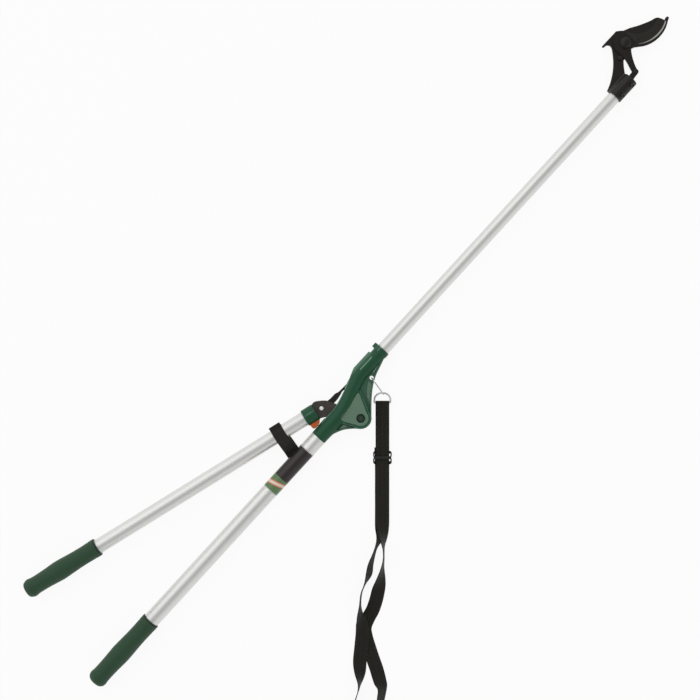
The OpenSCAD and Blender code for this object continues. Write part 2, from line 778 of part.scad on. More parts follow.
// Points of the arm on the lever's own frame, seen from the front
function on_lever_point(p) = let (c = cos(lever_splay), s = sin(lever_splay))
    [c * p.x - s * p.y, s * p.x + c * p.y];
fan_back = smooth([[ferrule_front + 0.2, lever_v + 14], on_lever_point([-33, 76.8]),
    on_lever_point([-25, 70.8]), on_lever_point([-17, 62]), on_lever_point([-11, 48]),
    on_lever_point([-5, 28])], 5);
fan_front = smooth([on_lever_point([-24, 25]), on_lever_point([-38, 44]),
    [ferrule_front + 0.2, lever_v - 13.6]], 4);

arm_rivets_at = [-96, -76];
arm_rivet_d = 4;

module arm_plate(z) {
    color(black_steel) on_lever() difference() {
        slab(z, z + arm_t) {
            polygon(concat(fan_back, [on_lever_point([arm_boss_r, 0]), on_lever_point([-arm_boss_r, 1])],
                fan_front));
            circle(r = arm_boss_r);
            translate([ferrule_front - tang_len, lever_v - tang_half]) square([tang_len + 1, 2 * tang_half]);
        }
        translate([0, 0, -mid]) cylinder(d = bush_d + 2 * run_gap, h = 2 * mid);
        translate(concat(rivet, [-mid])) cylinder(d = rivet_d + 2 * fit_gap, h = 2 * mid);
        for (u = arm_rivets_at) translate([u, lever_v, -mid])
            cylinder(d = arm_rivet_d + 2 * fit_gap, h = 2 * mid);
    }
}

module lever_arm_front() { arm_plate(arm_in); }

module lever_arm_back() { arm_plate(-arm_out); }

module arm_spacer() {
    spacer_half = 7;
    color(bright_steel) on_lever() difference() {
        translate([ferrule_front - tang_len, lever_v - spacer_half, -arm_in])
            cube([tang_len - 12, 2 * spacer_half, arm_gap]);
        for (u = arm_rivets_at) translate([u, lever_v, -mid])
            cylinder(d = arm_rivet_d + 2 * fit_gap, h = 2 * mid);
        arm_pin_hole();
    }
}

module arm_rivets() {
    color(bright_steel) on_lever() for (u = arm_rivets_at) translate([u, lever_v, -arm_out]) {
        cylinder(d = arm_rivet_d, h = 2 * arm_out);
        for (z = [-0.8, 2 * arm_out]) translate([0, 0, z]) cylinder(d = arm_rivet_d + 2, h = 0.8);
    }
}

arm_pin_u = -86;
arm_pin_d = 4;

module arm_pin_hole() {
    translate([arm_pin_u, lever_v, 0]) rotate([90, 0, 0])
        cylinder(d = arm_pin_d + 2 * fit_gap, h = 2 * mid, center = true);
}

module arm_pin() {
    color(bright_steel) on_lever() translate([arm_pin_u, lever_v, 0]) rotate([90, 0, 0])
        cylinder(d = arm_pin_d, h = 2 * lever_r, center = true);
}

module bumper() {
    half = 6;
    bottom = tube_y + body_r(-60) + pass_gap + 0.2;
    color(orange_rubber) difference() {
        at_mid() slab(-half, half) polygon(concat(
            smooth([[-67, bottom + 8], [-67.5, bottom + 2.5], [-64, bottom], [-56, bottom],
                [-51, bottom + 2.2], [-49.5, bottom + 6]]),
            [[-50, bottom + 12], [-66, bottom + 14]]));
        on_lever() along_x([ferrule_front - ferrule_len - 5, lever_v, 0])
            cylinder(d = ferrule_d, h = ferrule_len + 10);
    }
}

module link_rivet() {
    head_h = 1.2;
    color(bright_steel) on_lever() translate(rivet) {
        translate([0, 0, -arm_out]) cylinder(d = rivet_d, h = 2 * arm_out);
        for (s = [0, 1]) mirror([0, 0, s]) translate([0, 0, arm_out])
            cylinder(r1 = 3.5, r2 = 2.6, h = head_h);
    }
}

// Band round the lever tube, whose tail drops between the tubes and lies behind the fixed tube
module keeper_strap() {
    keeper_u = -131.5;
    inner = lever_r + fit_gap;
    front = mid + inner + keeper_t / 2;
    tail_path = smooth([[lever_v + 7, front - 2.5], [lever_v - 1, front + 0.3], [lever_v - 12, 25.6],
        [24, 12.5], [16.5, 3.8], [11.5, 1.6], [4, 1.5], [-12, 1.5]], 4);
    tab_path = smooth([[lever_v + 9, 27.5], [lever_v + 14.5, 26.5], [lever_v + 18, 27.5]], 4);
    // Below the tube the tail is wider than the band
    flap_w = keeper_w + 4;
    flap_path = [for (i = [9:len(tail_path) - 1]) tail_path[i]];
    color(black_web) rotate(-lever_splay) translate([keeper_u - keeper_w / 2, 0, 0]) rotate([90, 0, 90])
        difference() {
            union() {
                slab(0, keeper_w) {
                    translate([lever_v, mid]) circle(r = inner + keeper_t);
                    ribbon_profile(tail_path, keeper_t);
                    ribbon_profile(tab_path, keeper_t);
                }
                slab(0, flap_w) ribbon_profile(flap_path, keeper_t);
            }
            translate([lever_v, mid, -1]) cylinder(r = inner, h = keeper_w + 2);
        }
}

// Flat band of thickness t along a path of points
module ribbon_profile(path, t) {
    n = len(path) - 1;
    normals = [for (i = [0:n]) let (d = unit(path[min(i + 1, n)] - path[max(i - 1, 0)])) [-d.y, d.x] * t / 2];
    polygon(concat([for (i = [0:n]) path[i] + normals[i]], [for (i = [n:-1:0]) path[i] - normals[i]]));
}

// Drive link

module drive_link() {
    eye = yoke_pin_d / 2 + yoke_slack + 2.2;
    rear = on_part(rivet);
    front = [rod_rear, pole_y];
    eye_rear = 7;
    upper = smooth([rear + [1, eye_rear - 0.3], [-15, 61.2], [1, 60.2], [8, 57.9], [28, pole_y + 6],
        front + [0, eye - 0.4]], 4);
    lower = smooth([front - [0, eye - 0.4], front + [-12, -1.6], [14, 53.6], [7, 52.4], [-8, 50.4],
        rear + [-1, 0.3 - eye_rear]], 4);
    color(black_steel) at_mid() difference() {
        slab(-link_t / 2, link_t / 2) {
            translate(rear) circle(r = eye_rear);
            translate(front) circle(r = eye);
            polygon(concat(upper, lower));
        }
        translate(concat(rear, [-mid])) cylinder(d = rivet_d + 2 * run_gap, h = 2 * mid);
        translate(concat(front, [-mid])) cylinder(d = yoke_pin_d + 2 * yoke_slack, h = 2 * mid);
    }
}

// Point of the lever's own frame in the part's frame
function on_part(p) = let (c = cos(lever_splay), s = sin(lever_splay))
    [c * p.x + s * p.y, c * p.y - s * p.x];

// Carrying strap

ring_room = 0.5;
ring_half = strap_w / 2 + ring_room + ring_wire_d / 2;
ring_side = 6;
ring_tilt = 30;
link_wire_d = 2;
link_half = 11;

// Oblong wire loop through the fin's hole, edge up, that holds the D-ring
module strap_link() {
    ring_top = strap_at + (ring_side + ring_half) * cos(ring_tilt) * [-sin(strap_turn), cos(strap_turn)];
    way = ring_top - strap_hole;
    drop = mid - bar_z - (ring_side + ring_half) * sin(ring_tilt);
    link_drop = atan2(drop, norm(way));
    reach = norm([norm(way), drop]) + (ring_wire_d + link_wire_d) / 2 + 3 * pass_gap;
    straight = reach - 2 * link_half;
    color(bright_steel) translate(concat(strap_hole, [mid])) rotate(atan2(way.y, way.x))
        rotate([0, link_drop, 0]) rotate([90, 0, 0]) translate([link_half, 0, 0]) {
            rotate(90) rotate_extrude(angle = 180)
                translate([link_half, 0]) circle(d = link_wire_d, $fn = 20);
            translate([straight, 0, 0]) rotate(-90)
                rotate_extrude(angle = 180) translate([link_half, 0]) circle(d = link_wire_d, $fn = 20);
            for (s = [-1, 1]) along_x([0, s * link_half, 0])
                cylinder(d = link_wire_d, h = straight, $fn = 20);
        }
}

module d_ring() {
    color(bright_steel) on_strap() translate([0, 0, bar_z]) rotate([ring_tilt, 0, 0]) {
        translate([0, ring_side, 0]) rotate_extrude(angle = 180)
            translate([ring_half, 0]) circle(d = ring_wire_d, $fn = 20);
        for (s = [-1, 1]) translate([s * ring_half, ring_side, 0]) rotate([90, 0, 0])
            cylinder(d = ring_wire_d, h = ring_side, $fn = 20);
        along_x([-ring_half, 0, 0]) cylinder(d = ring_wire_d, h = 2 * ring_half, $fn = 20);
        for (s = [-1, 1]) translate([s * ring_half, 0, 0]) sphere(d = ring_wire_d, $fn = 20);
    }
}

// Stations of the webbing: across, along, lift of its lower edge and lean, 0 flat and 90 on edge.
// The left run climbs from the loop's foot to the adjuster, under the right run.
left_run = [
    [-2, -76, low_z, 0], [-1, -110, low_z, 0], [-1, -150, low_z, 0], [-1, -190, low_z, 2],
    [-2, -212, 2.4, 22], [-5, -232, 1.2, 60], [-12, -250, 0.9, 78], [-20, -275, 0.8, 66],
    [-23, -292, 0.8, 62], [-30, -309, 0.8, 82], [-36, -325, 0.9, 84], [-38, -345, 2.4, 82],
    [-38, -362, 3.4, 62], [-36, -374, 3.4, 36], [-34, -390, 3.2, 10], [-36, -415, 2.8, 4],
    [-38.5, -440, 1.4, 6], [-38.5, -460, 1, 36], [-39, -478, 0.8, 74], [-41, -490, 0.7, 84],
    [-46, -506, 0.6, 88]
];
loop_foot = [
    [-51, -525, 0.6, 90], [-51, -548, 0.6, 90], [-42, -566, 0.6, 90], [-27, -573, 0.6, 90],
    [-11, -566, 0.6, 90], [-3, -548, 0.6, 90]
];
right_run = [
    [-2, -526, 0.6, 80], [-3, -508, 0.6, 56], [-0.5, -488, 0.7, 48], [-4.5, -474, 0.8, 20],
    [-10, -455, 0.8, 4], [-16, -438, 0.6, 0], [-22, -420, 0.5, 0], [-28, -400, 0.5, 0],
    [-30, -384, 0.5, 0], [-24, -368, 0.5, 0], [-16.5, -354, 0.5, 2], [-11, -338, 0.6, 6],
    [-7, -321, 0.7, 14], [-3.5, -304, 0.8, 42], [-0.5, -284, 0.8, 72], [2, -266, 0.9, 84],
    [2, -248, 1.4, 82], [1.5, -234, 2.6, 62], [0.5, -212, 4.2, 24], [0, -190, high_z, 3],
    [0, -150, high_z, 0], [0, -90, high_z, 0], [0, -40, high_z, 0], [0, -18, high_z + 0.2, 0],
    [0, -7, bar_z + bar_wrap - strap_t / 2 - 0.4, 0]
];
sewn_end = [
    [0, -8, bar_z - bar_wrap - strap_t / 2 + 0.2, 0], [0, -18, 2.2, 0], [0, -38, low_z, 0], [0, -60, low_z, 0]
];

// Middle of the band at a station
function band_mid(s) = [s.x, s.y, s[2] + strap_t / 2 * cos(s[3]) + strap_w / 2 * sin(s[3])];
bar_turn = [for (a = [60:-60:-60]) [0, bar_wrap * cos(a), bar_z + bar_wrap * sin(a), 0]];
free_path = smooth([for (s = concat(left_run, loop_foot, right_run)) concat(band_mid(s), [s[3]])], 2);
sewn_path = smooth([for (s = sewn_end) concat(band_mid(s), [s[3]])], 2);
band_path = concat(free_path, bar_turn, sewn_path);

// Corners of the band's section at one point of its path
function band_ring(i) = let (n = len(band_path) - 1, p = band_path[i],
    here = [p.x, p.y, p.z],
    before = band_path[max(i - 1, 0)],
    after = band_path[min(i + 1, n)],
    along = unit([after.x - before.x, after.y - before.y, after.z - before.z]),
    flat = norm([along.x, along.y]) < 0.01 ? [1, 0, 0] : unit([along.y, -along.x, 0]),
    level = flat.x < 0 ? -flat : flat,
    across = unit(cos(p[3]) * level - sin(p[3]) * [0, 0, 1]),
    thick = unit(cross(along, across)))
    [for (c = [[-1, -1], [1, -1], [1, 1], [-1, 1]])
        here + c.x * strap_w / 2 * across + c.y * strap_t / 2 * thick];

module webbing() {
    color(black_web) on_strap() loft([for (i = [0:len(band_path) - 1]) band_ring(i)]);
}

// Three-bar slider: the outer bars lie under the webbing and the middle bar over it
module strap_adjuster() {
    slider_y = -93.5;
    bar_w = 5;
    bar_h = 2.4;
    half_len = 11.5;
    rail_in = strap_w / 2 + 2;
    rail_w = 2.2;
    top = high_z + strap_t + pass_gap;
    color(black_steel) on_strap() translate([0, slider_y, 0]) {
        for (y = [-half_len, half_len - bar_w]) translate([-rail_in, y, 0.4])
            cube([2 * rail_in, bar_w, bar_h]);
        translate([-rail_in, -bar_w / 2, top]) cube([2 * rail_in, bar_w, bar_h]);
        for (s = [-1, 1]) translate([s * (rail_in + rail_w / 2), 0, 0.4])
            translate([-rail_w / 2, -half_len, 0]) cube([rail_w, 2 * half_len, top + bar_h - 0.4]);
    }
}

head_collar();
hook_plate();
weld_beads();
stop_pin();
blade_pivot_bolt();
blade_pivot_washer();
blade_pivot_nut();
collar_screws();
upper_pole();
rod_guides();
housing_front();
housing_back();
inlay_front();
inlay_back();
fin_panel_front();
fin_panel_back();
lever_pivot_bolt();
lever_pivot_washer();
lever_pivot_nut();
pivot_bush();
housing_screws();
fixed_tube();
fixed_tube_pins();
fixed_grip();
tube_label();
lever_tube();
lever_grip();
lever_ferrule();
lever_arm_front();
lever_arm_back();
arm_spacer();
arm_rivets();
arm_pin();
bumper();
link_rivet();
keeper_strap();
drive_link();
pull_rod();
rod_yoke();
yoke_pin();
rod_end();
rod_end_pin();
blade();
tail_pin();
clevis();
strap_link();
d_ring();
webbing();
strap_adjuster();
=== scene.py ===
"""Looks of the tree pruner pole: finishes, softened mouldings, woven strap and stage.

Sizes are in millimetres in the tool's own frame, as in the part's source, and become metres when a mesh is
made. Settings, grids, beads and the stage are in metres. X runs along the pole to the cutting head, Y towards
the lever and Z up. The origin is the lever pivot on the ground.
"""

import math
from functools import cache, reduce

import bmesh
import bpy
from mathutils import Matrix, Vector


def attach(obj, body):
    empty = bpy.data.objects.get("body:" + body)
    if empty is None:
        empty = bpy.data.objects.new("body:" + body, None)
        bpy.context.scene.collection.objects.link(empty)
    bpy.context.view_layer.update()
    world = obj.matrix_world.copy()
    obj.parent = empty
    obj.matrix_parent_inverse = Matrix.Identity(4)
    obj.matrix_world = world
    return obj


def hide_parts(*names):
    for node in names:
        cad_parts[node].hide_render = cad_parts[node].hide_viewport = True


bl_info = {
    "name": "Tree Pruner Pole",
    "version": (1, 0, 0),
    "blender": (4, 5, 0),
    "location": "View3D > Sidebar > Pruner",
    "description": "Dresses a long-reach tree pruner with its finishes, grips, strap and stage",
    "category": "Object",
}

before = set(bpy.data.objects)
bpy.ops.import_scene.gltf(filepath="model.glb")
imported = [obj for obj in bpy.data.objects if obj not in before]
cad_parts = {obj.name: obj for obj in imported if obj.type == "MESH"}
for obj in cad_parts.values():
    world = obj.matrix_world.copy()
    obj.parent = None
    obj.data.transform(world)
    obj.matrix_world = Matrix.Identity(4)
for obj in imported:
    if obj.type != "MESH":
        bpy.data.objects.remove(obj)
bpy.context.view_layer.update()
MM = 0.001


def move(x, y, z=0.0):
    return Matrix.Translation((x, y, z))


def spin(degrees, axis="Z"):
    return Matrix.Rotation(math.radians(degrees), 4, axis)


def polar(radius, degrees):
    """Place on a circle, across and up."""
    a = math.radians(degrees)
    return radius * math.cos(a), radius * math.sin(a)


# Main places of the tool
MID = 17.0
POLE_Y = 51.0
TUBE_Y = 30.5
LEVER_V = 49.3
LEVER_SPLAY = 15.73
GRIP_FRONT = -494.0
LEVER_GRIP_FRONT = -495.0
LABEL_START = -194.0
LABEL_LENGTH = 93.0
HEAD = Vector((693.5, POLE_Y, MID))
COLLAR_R = 13.2
PLATE_FACES = (-2.15, -7.15)
BLADE_PIVOT = (81.0, 48.0)
STOP_AT = (56.0, 37.0)
TAIL_AT = (55.5, 2.2)
EDGE_CENTRE = Vector((131.5, 69.3, 0.0))
EDGE_R = 53.5
EDGE_STARTS = 225.2
STRAP_AT = (44.0, -10.0)
STRAP_TURN = -47.5
STRAP_HOLE = Vector((63.0, 32.6, MID))

IDENTITY = Matrix.Identity(4)
LEVER_FRAME = move(0, 0, MID) @ spin(-LEVER_SPLAY)
HEAD_FRAME = move(*HEAD)
STRAP_FRAME = move(*STRAP_AT) @ spin(STRAP_TURN)


# Settings a user would change


class PrunerColours(bpy.types.PropertyGroup):
    """Colours of the tool's finishes"""

    housing: bpy.props.FloatVectorProperty(
        name="Housing", description="Moulded housing and ferrule", subtype="COLOR", default=(0.0080, 0.0710, 0.0312)
    )
    inlay: bpy.props.FloatVectorProperty(
        name="Inlay", description="Pale panels around the lever pivot", subtype="COLOR", default=(0.122, 0.206, 0.142)
    )
    grip: bpy.props.FloatVectorProperty(
        name="Grips", description="Soft hand grips", subtype="COLOR", default=(0.0204, 0.0625, 0.0286)
    )
    tube: bpy.props.FloatVectorProperty(
        name="Tubes", description="Anodised aluminium", subtype="COLOR", default=(0.74, 0.74, 0.722)
    )
    ironwork: bpy.props.FloatVectorProperty(
        name="Ironwork", description="Black painted steel", subtype="COLOR", default=(0.0100, 0.0082, 0.0060)
    )
    arms: bpy.props.FloatVectorProperty(
        name="Lever arms", description="Dull black of the arm plates", subtype="COLOR", default=(0.0470, 0.0410, 0.0370)
    )
    edge: bpy.props.FloatVectorProperty(
        name="Ground edge", description="Bright steel at the cutting edge", subtype="COLOR", default=(0.52, 0.52, 0.50)
    )
    bumper: bpy.props.FloatVectorProperty(
        name="Bumper", description="Orange rubber stop", subtype="COLOR", default=(0.57, 0.116, 0.023)
    )
    webbing: bpy.props.FloatVectorProperty(
        name="Webbing", description="Carrying strap", subtype="COLOR", default=(0.0104, 0.0094, 0.0062)
    )


class PrunerSizes(bpy.types.PropertyGroup):
    """Sizes of the details that the solids leave plain"""

    strap_width: bpy.props.FloatProperty(
        name="Strap width", description="Width of the webbing", unit="LENGTH", default=0.0235
    )
    strap_thickness: bpy.props.FloatProperty(
        name="Strap thickness", description="Thickness of the webbing", unit="LENGTH", default=0.0014
    )
    weave_pitch: bpy.props.FloatProperty(
        name="Weave pitch", description="Distance between the webbing's cross threads", unit="LENGTH", default=0.0015
    )
    stitch_pitch: bpy.props.FloatProperty(
        name="Stitch pitch", description="Distance between stitches", unit="LENGTH", default=0.0034
    )
    weld_pitch: bpy.props.FloatProperty(
        name="Weld pitch", description="Distance between a weld bead's ripples", unit="LENGTH", default=0.0012
    )
    edge_softness: bpy.props.FloatProperty(
        name="Moulding softness", description="Grid on which moulded edges are rounded", unit="LENGTH", default=0.0007
    )


def colours():
    return bpy.context.scene.pruner_colours


def sizes():
    return bpy.context.scene.pruner_sizes


# Finishes


class Nodes:
    """A node tree that is built up step by step."""

    def __init__(self, tree):
        self.tree = tree

    def existing(self, kind):
        return next(n for n in self.tree.nodes if n.type == kind)

    def feed(self, socket, value):
        if isinstance(value, bpy.types.NodeSocket):
            self.tree.links.new(value, socket)
        else:
            socket.default_value = value

    def node(self, kind, inputs=None, **settings):
        """A new node with its settings, and its inputs fed by name or number."""
        made = self.tree.nodes.new(kind)
        for key, value in settings.items():
            setattr(made, key, value)
        for key, value in (inputs or {}).items():
            self.feed(made.inputs[key], value)
        return made

    def sums(self, operation, *values):
        return self.node("ShaderNodeMath", dict(enumerate(values)), operation=operation).outputs[0]

    def product(self, *values):
        return reduce(lambda a, b: self.sums("MULTIPLY", a, b), values)

    def total(self, *values):
        return reduce(lambda a, b: self.sums("ADD", a, b), values)

    def between(self, value, low, high, out_low=0.0, out_high=1.0):
        """The value taken from one range to another and held at its ends."""
        ends = {"Value": value, "From Min": low, "From Max": high, "To Min": out_low, "To Max": out_high}
        return self.node("ShaderNodeMapRange", ends).outputs[0]

    def parts(self, vector):
        return self.node("ShaderNodeSeparateXYZ", {0: vector}).outputs


class Finish(Nodes):
    """A node material. Noise scales are per metre, and reliefs are in millimetres."""

    def __init__(self, name, roughness, metallic=0.0, specular=0.3, more=None):
        self.material = bpy.data.materials.new(name)
        self.material.use_nodes = True
        super().__init__(self.material.node_tree)
        self.shader = self.existing("BSDF_PRINCIPLED")
        plain = {"Roughness": roughness, "Metallic": metallic, "Specular IOR Level": specular}
        for key, value in {**plain, **(more or {})}.items():
            self.shader.inputs[key].default_value = value
        self.normal = None

    def place(self, source="Object", scale=(1, 1, 1), turn=0.0):
        """Coordinates along axes turned by degrees about Z, then scaled."""
        coords = self.node("ShaderNodeTexCoord").outputs[source]
        axes = {"Vector": coords, "Rotation": (0, 0, math.radians(turn))}
        along = self.node("ShaderNodeMapping", axes, vector_type="TEXTURE").outputs[0]
        return self.node("ShaderNodeMapping", {"Vector": along, "Scale": scale}).outputs[0]

    def noise(self, vector, scale, detail=3.0, roughness=0.55):
        grain = {"Vector": vector, "Scale": scale, "Detail": detail, "Roughness": roughness}
        return self.node("ShaderNodeTexNoise", grain).outputs["Fac"]

    def cells(self, vector, scale):
        return self.node("ShaderNodeTexVoronoi", {"Vector": vector, "Scale": scale}).outputs["Distance"]

    def marked(self, attribute):
        """A mark that the piece's mesh carries, from 0 to 1."""
        return self.node("ShaderNodeAttribute", attribute_name=attribute).outputs["Fac"]

    def mix(self, factor, *ends):
        first, second = (e if isinstance(e, bpy.types.NodeSocket) else (*e[:3], 1.0) for e in ends)
        return self.node("ShaderNodeMix", {0: factor, 6: first, 7: second}, data_type="RGBA").outputs[2]

    def shades(self, colour, factor, spread):
        """The colour, darker and lighter by the spread as the factor goes from 0 to 1."""
        dark = [c * (1 - spread) for c in colour]
        light = [min(1.0, c * (1 + spread)) for c in colour]
        return self.mix(factor, dark, light)

    def patches(self, low=0.42, high=0.68):
        """Blotches in which a surface wears through, and on the mouldings those in which a painted edge highlight
        shows.
        """
        return self.between(self.noise(self.place(), 160.0, 4.0), low, high)

    def edge_wear_and_highlight(self, colour, painted_highlight_and_wear, amount, sharp=(0.53, 0.62), patchy=(0.42, 0.68)):
        """Corners paled towards another colour, in patches: edge wear on the grips, a painted highlight along the
        mouldings' edges.
        """
        corners = self.between(self.node("ShaderNodeNewGeometry").outputs["Pointiness"], *sharp)
        return self.mix(self.product(corners, self.patches(*patchy), amount), colour, painted_highlight_and_wear)

    def chipped(self, colour, bare, amount):
        """Broken edges of a plate, as its mesh marks them, chipped towards bare metal in patches."""
        return self.mix(self.product(self.marked("eased"), self.patches(), amount), colour, bare)

    def relief(self, height, depth, strength):
        """Adds a bump on top of those already there."""
        bump = {"Distance": depth * MM, "Strength": strength, "Height": height}
        if self.normal is not None:
            bump["Normal"] = self.normal
        self.normal = self.node("ShaderNodeBump", bump).outputs[0]

    def done(self, colour, roughness=None):
        for key, value in {"Base Color": colour, "Roughness": roughness, "Normal": self.normal}.items():
            if value is not None:
                self.feed(self.shader.inputs[key], value)
        return self.material


def moulded_finish(name, colour, roughness=0.40):
    """Moulded plastic with a fine spark grain and a faint flow of the colour, and painted highlights: pale along its
    edges and where its mesh marks it.
    """
    f = Finish(name, roughness)
    here = f.place()
    flow = f.noise(here, 26.0)
    grain = f.noise(here, 1500.0, 2.0)
    f.relief(grain, 0.10, 0.35)
    f.relief(f.noise(here, 320.0), 0.18, 0.18)
    pale = [c * 2.6 + 0.19 for c in colour]
    # Painted highlight: pale along the softened edges, as pointiness finds them, in patches.
    painted_edge_highlight = f.edge_wear_and_highlight(f.shades(colour, flow, 0.16), pale, 0.6, (0.515, 0.56), (0.36, 0.62))
    # Painted highlight: pale where the mesh's mark says, on the housing's ridge, rim and edge lines and on the
    # ferrule's line.
    painted_highlight_and_wear = f.product(f.marked("painted_highlight_and_wear"), f.between(flow, 0.2, 0.5, 0.75, 1.0))
    return f.done(f.mix(painted_highlight_and_wear, painted_edge_highlight, pale), f.between(grain, 0.2, 0.8, roughness - 0.07, roughness + 0.09))


def grip_finish(name, colour, front, turn=0.0):
    """Soft foamed grip: matt, slightly mottled and pitted, with a painted shade as a dark band at its open front."""
    f = Finish(name, 0.62, more={"Sheen Weight": 0.12, "Sheen Roughness": 0.5})
    here = f.place()
    mottle = f.noise(here, 70.0, 4.0)
    f.relief(f.between(f.cells(here, 620.0), 0.0, 0.7), 0.16, 0.45)
    f.relief(f.noise(here, 190.0), 0.30, 0.20)
    tone = f.edge_wear_and_highlight(f.shades(colour, mottle, 0.24), [c * 1.7 + 0.01 for c in colour], 0.4)
    # Painted shade: a dark band round the grip's open front, where it meets its tube.
    along = f.parts(f.place(turn=turn))[0]
    lip = f.between(along, (front - 2.7) * MM, (front - 2.2) * MM)
    return f.done(f.mix(lip, tone, [c * 0.30 for c in colour]), f.between(mottle, 0.3, 0.7, 0.52, 0.72))


def drawn_tube_finish(name, colour, turn=0.0):
    """Satin anodised tube with draw lines along it."""
    f = Finish(name, 0.36, 0.85)
    lines = f.noise(f.place(scale=(6.0, 900.0, 900.0), turn=turn), 1.0, 4.0, 0.6)
    clouds = f.noise(f.place(scale=(14.0, 40.0, 40.0), turn=turn), 1.0)
    f.relief(lines, 0.04, 0.25)
    tone = f.shades(colour, f.total(f.product(lines, 0.6), f.product(clouds, 0.4)), 0.055)
    return f.done(tone, f.between(lines, 0.25, 0.75, 0.34, 0.50))


def painted_finish(name, colour, bare=(0.11, 0.11, 0.115)):
    """Baked black paint with a slight orange peel, dusty, and chipped at its edges."""
    f = Finish(name, 0.42)
    here = f.place()
    f.relief(f.noise(here, 520.0, 2.0), 0.12, 0.30)
    dust = f.between(f.noise(here, 75.0, 5.0, 0.65), 0.45, 0.75)
    tone = f.mix(f.product(dust, 0.35), colour, [c * 2.0 + 0.006 for c in colour])
    return f.done(f.chipped(tone, bare, 0.7), f.between(dust, 0.0, 1.0, 0.36, 0.52))


def blade_finish(colour, edge):
    """Coated blade with a bare, honed cutting edge along its arc."""
    f = Finish("coated blade", 0.36)
    here = f.place()
    centre = (HEAD + EDGE_CENTRE) * MM
    x, y, _ = f.parts(here)
    squares = [f.sums("POWER", f.sums("SUBTRACT", *pair), 2.0) for pair in ((x, centre.x), (y, centre.y))]
    reach = f.sums("SQRT", f.total(*squares))
    crotch = (HEAD.x + EDGE_CENTRE.x + polar(EDGE_R, EDGE_STARTS)[0]) * MM

    def inside(depth):
        """Reach of a line that far inside the cutting edge."""
        return (EDGE_R - depth) * MM

    on_edge = f.product(f.sums("GREATER_THAN", x, crotch), f.sums("LESS_THAN", reach, inside(-0.6)))
    wide = f.between(x, crotch, crotch + 0.030, 0.0004, 0.0026)
    band = f.between(f.total(reach, wide), inside(0.2), inside(-0.15))
    bare = f.product(band, on_edge, f.between(reach, inside(0.2), inside(0.7), 0.25, 1.0))
    ground = f.product(f.between(reach, inside(17.2), inside(16.6)), on_edge)
    scratches = f.noise(f.place(scale=(60.0, 900.0, 60.0), turn=-12.0), 1.0, 3.0, 0.6)
    f.relief(scratches, 0.05, 0.30)
    f.relief(f.noise(here, 480.0, 2.0), 0.08, 0.22)
    bevel = f.shades([c * 1.7 + 0.004 for c in colour], scratches, 0.3)
    coat = f.chipped(f.mix(ground, f.shades(colour, scratches, 0.22), bevel), (0.13, 0.13, 0.135), 0.5)
    f.feed(f.shader.inputs["Metallic"], f.between(bare, 0.0, 1.0, 0.0, 0.9))
    honed = f.shades(edge, scratches, 0.12)
    return f.done(f.mix(bare, coat, honed), f.between(scratches, 0.2, 0.8, 0.26, 0.42))


def plated_finish(name, colour, roughness):
    """Plated steel with faint spangle."""
    f = Finish(name, roughness, 1.0)
    here = f.place()
    spangle = f.cells(here, 340.0)
    f.relief(f.noise(here, 900.0, 2.0), 0.04, 0.3)
    return f.done(f.shades(colour, spangle, 0.10), f.between(spangle, 0.0, 0.8, roughness - 0.06, roughness + 0.10))


def burnished_finish(name, colour):
    """Pale soft rivet metal, dulled by its setting so that it is bright from every side."""
    f = Finish(name, 0.42, 0.25, 0.5)
    marks = f.noise(f.place(), 1300.0)
    f.relief(marks, 0.04, 0.3)
    return f.done(f.shades(colour, marks, 0.06), f.between(marks, 0.3, 0.7, 0.34, 0.50))


def rubber_finish(name, colour, roughness=0.55):
    """Plain rubber or dull plastic with a little bloom."""
    f = Finish(name, roughness)
    here = f.place()
    bloom = f.noise(here, 130.0, 4.0)
    f.relief(f.noise(here, 1100.0, 2.0), 0.10, 0.35)
    return f.done(f.shades(colour, bloom, 0.18), f.between(bloom, 0.3, 0.7, roughness - 0.08, roughness + 0.1))


def webbing_finish(colour, pitch):
    """Woven webbing: ribs across the strap and threads in them, on its own unrolled coordinates."""
    f = Finish("woven webbing", 0.78, more={"Sheen Weight": 0.25, "Sheen Roughness": 0.4})
    u, v, _ = f.parts(f.place("UV"))

    def wave(kind, value, length):
        return f.sums(kind, f.product(value, 2 * math.pi / length))

    lattice = f.between(f.product(wave("SINE", v, pitch), wave("SINE", u, pitch / 1.35)), -1.0, 1.0)
    stripes = f.between(wave("COSINE", u, 0.0078), -1.0, 1.0)
    fuzz = f.noise(f.place("UV", scale=(900.0, 260.0, 1.0)), 1.0)
    f.relief(lattice, 0.22, 0.8)
    f.relief(stripes, 0.25, 0.6)
    f.relief(fuzz, 0.14, 0.4)
    # Painted shade and highlight: the colour follows the weave's relief, darker in its hollows and paler on its threads
    # and ribs, with the fuzz as random tone.
    weave_shade_and_fuzz = f.total(f.product(lattice, 0.4), f.product(fuzz, 0.3), f.product(stripes, 0.3))
    return f.done(f.shades(colour, weave_shade_and_fuzz, 0.5), f.between(fuzz, 0.2, 0.8, 0.70, 0.90))


def pile_finish(colour):
    """Black hook-and-loop band with a short pile."""
    f = Finish("hook and loop band", 0.85, more={"Sheen Weight": 0.3})
    here = f.place()
    f.relief(f.between(f.cells(here, 780.0), 0.0, 0.7), 0.25, 0.7)
    return f.done(f.shades(colour, f.noise(here, 420.0, 4.0), 0.4))


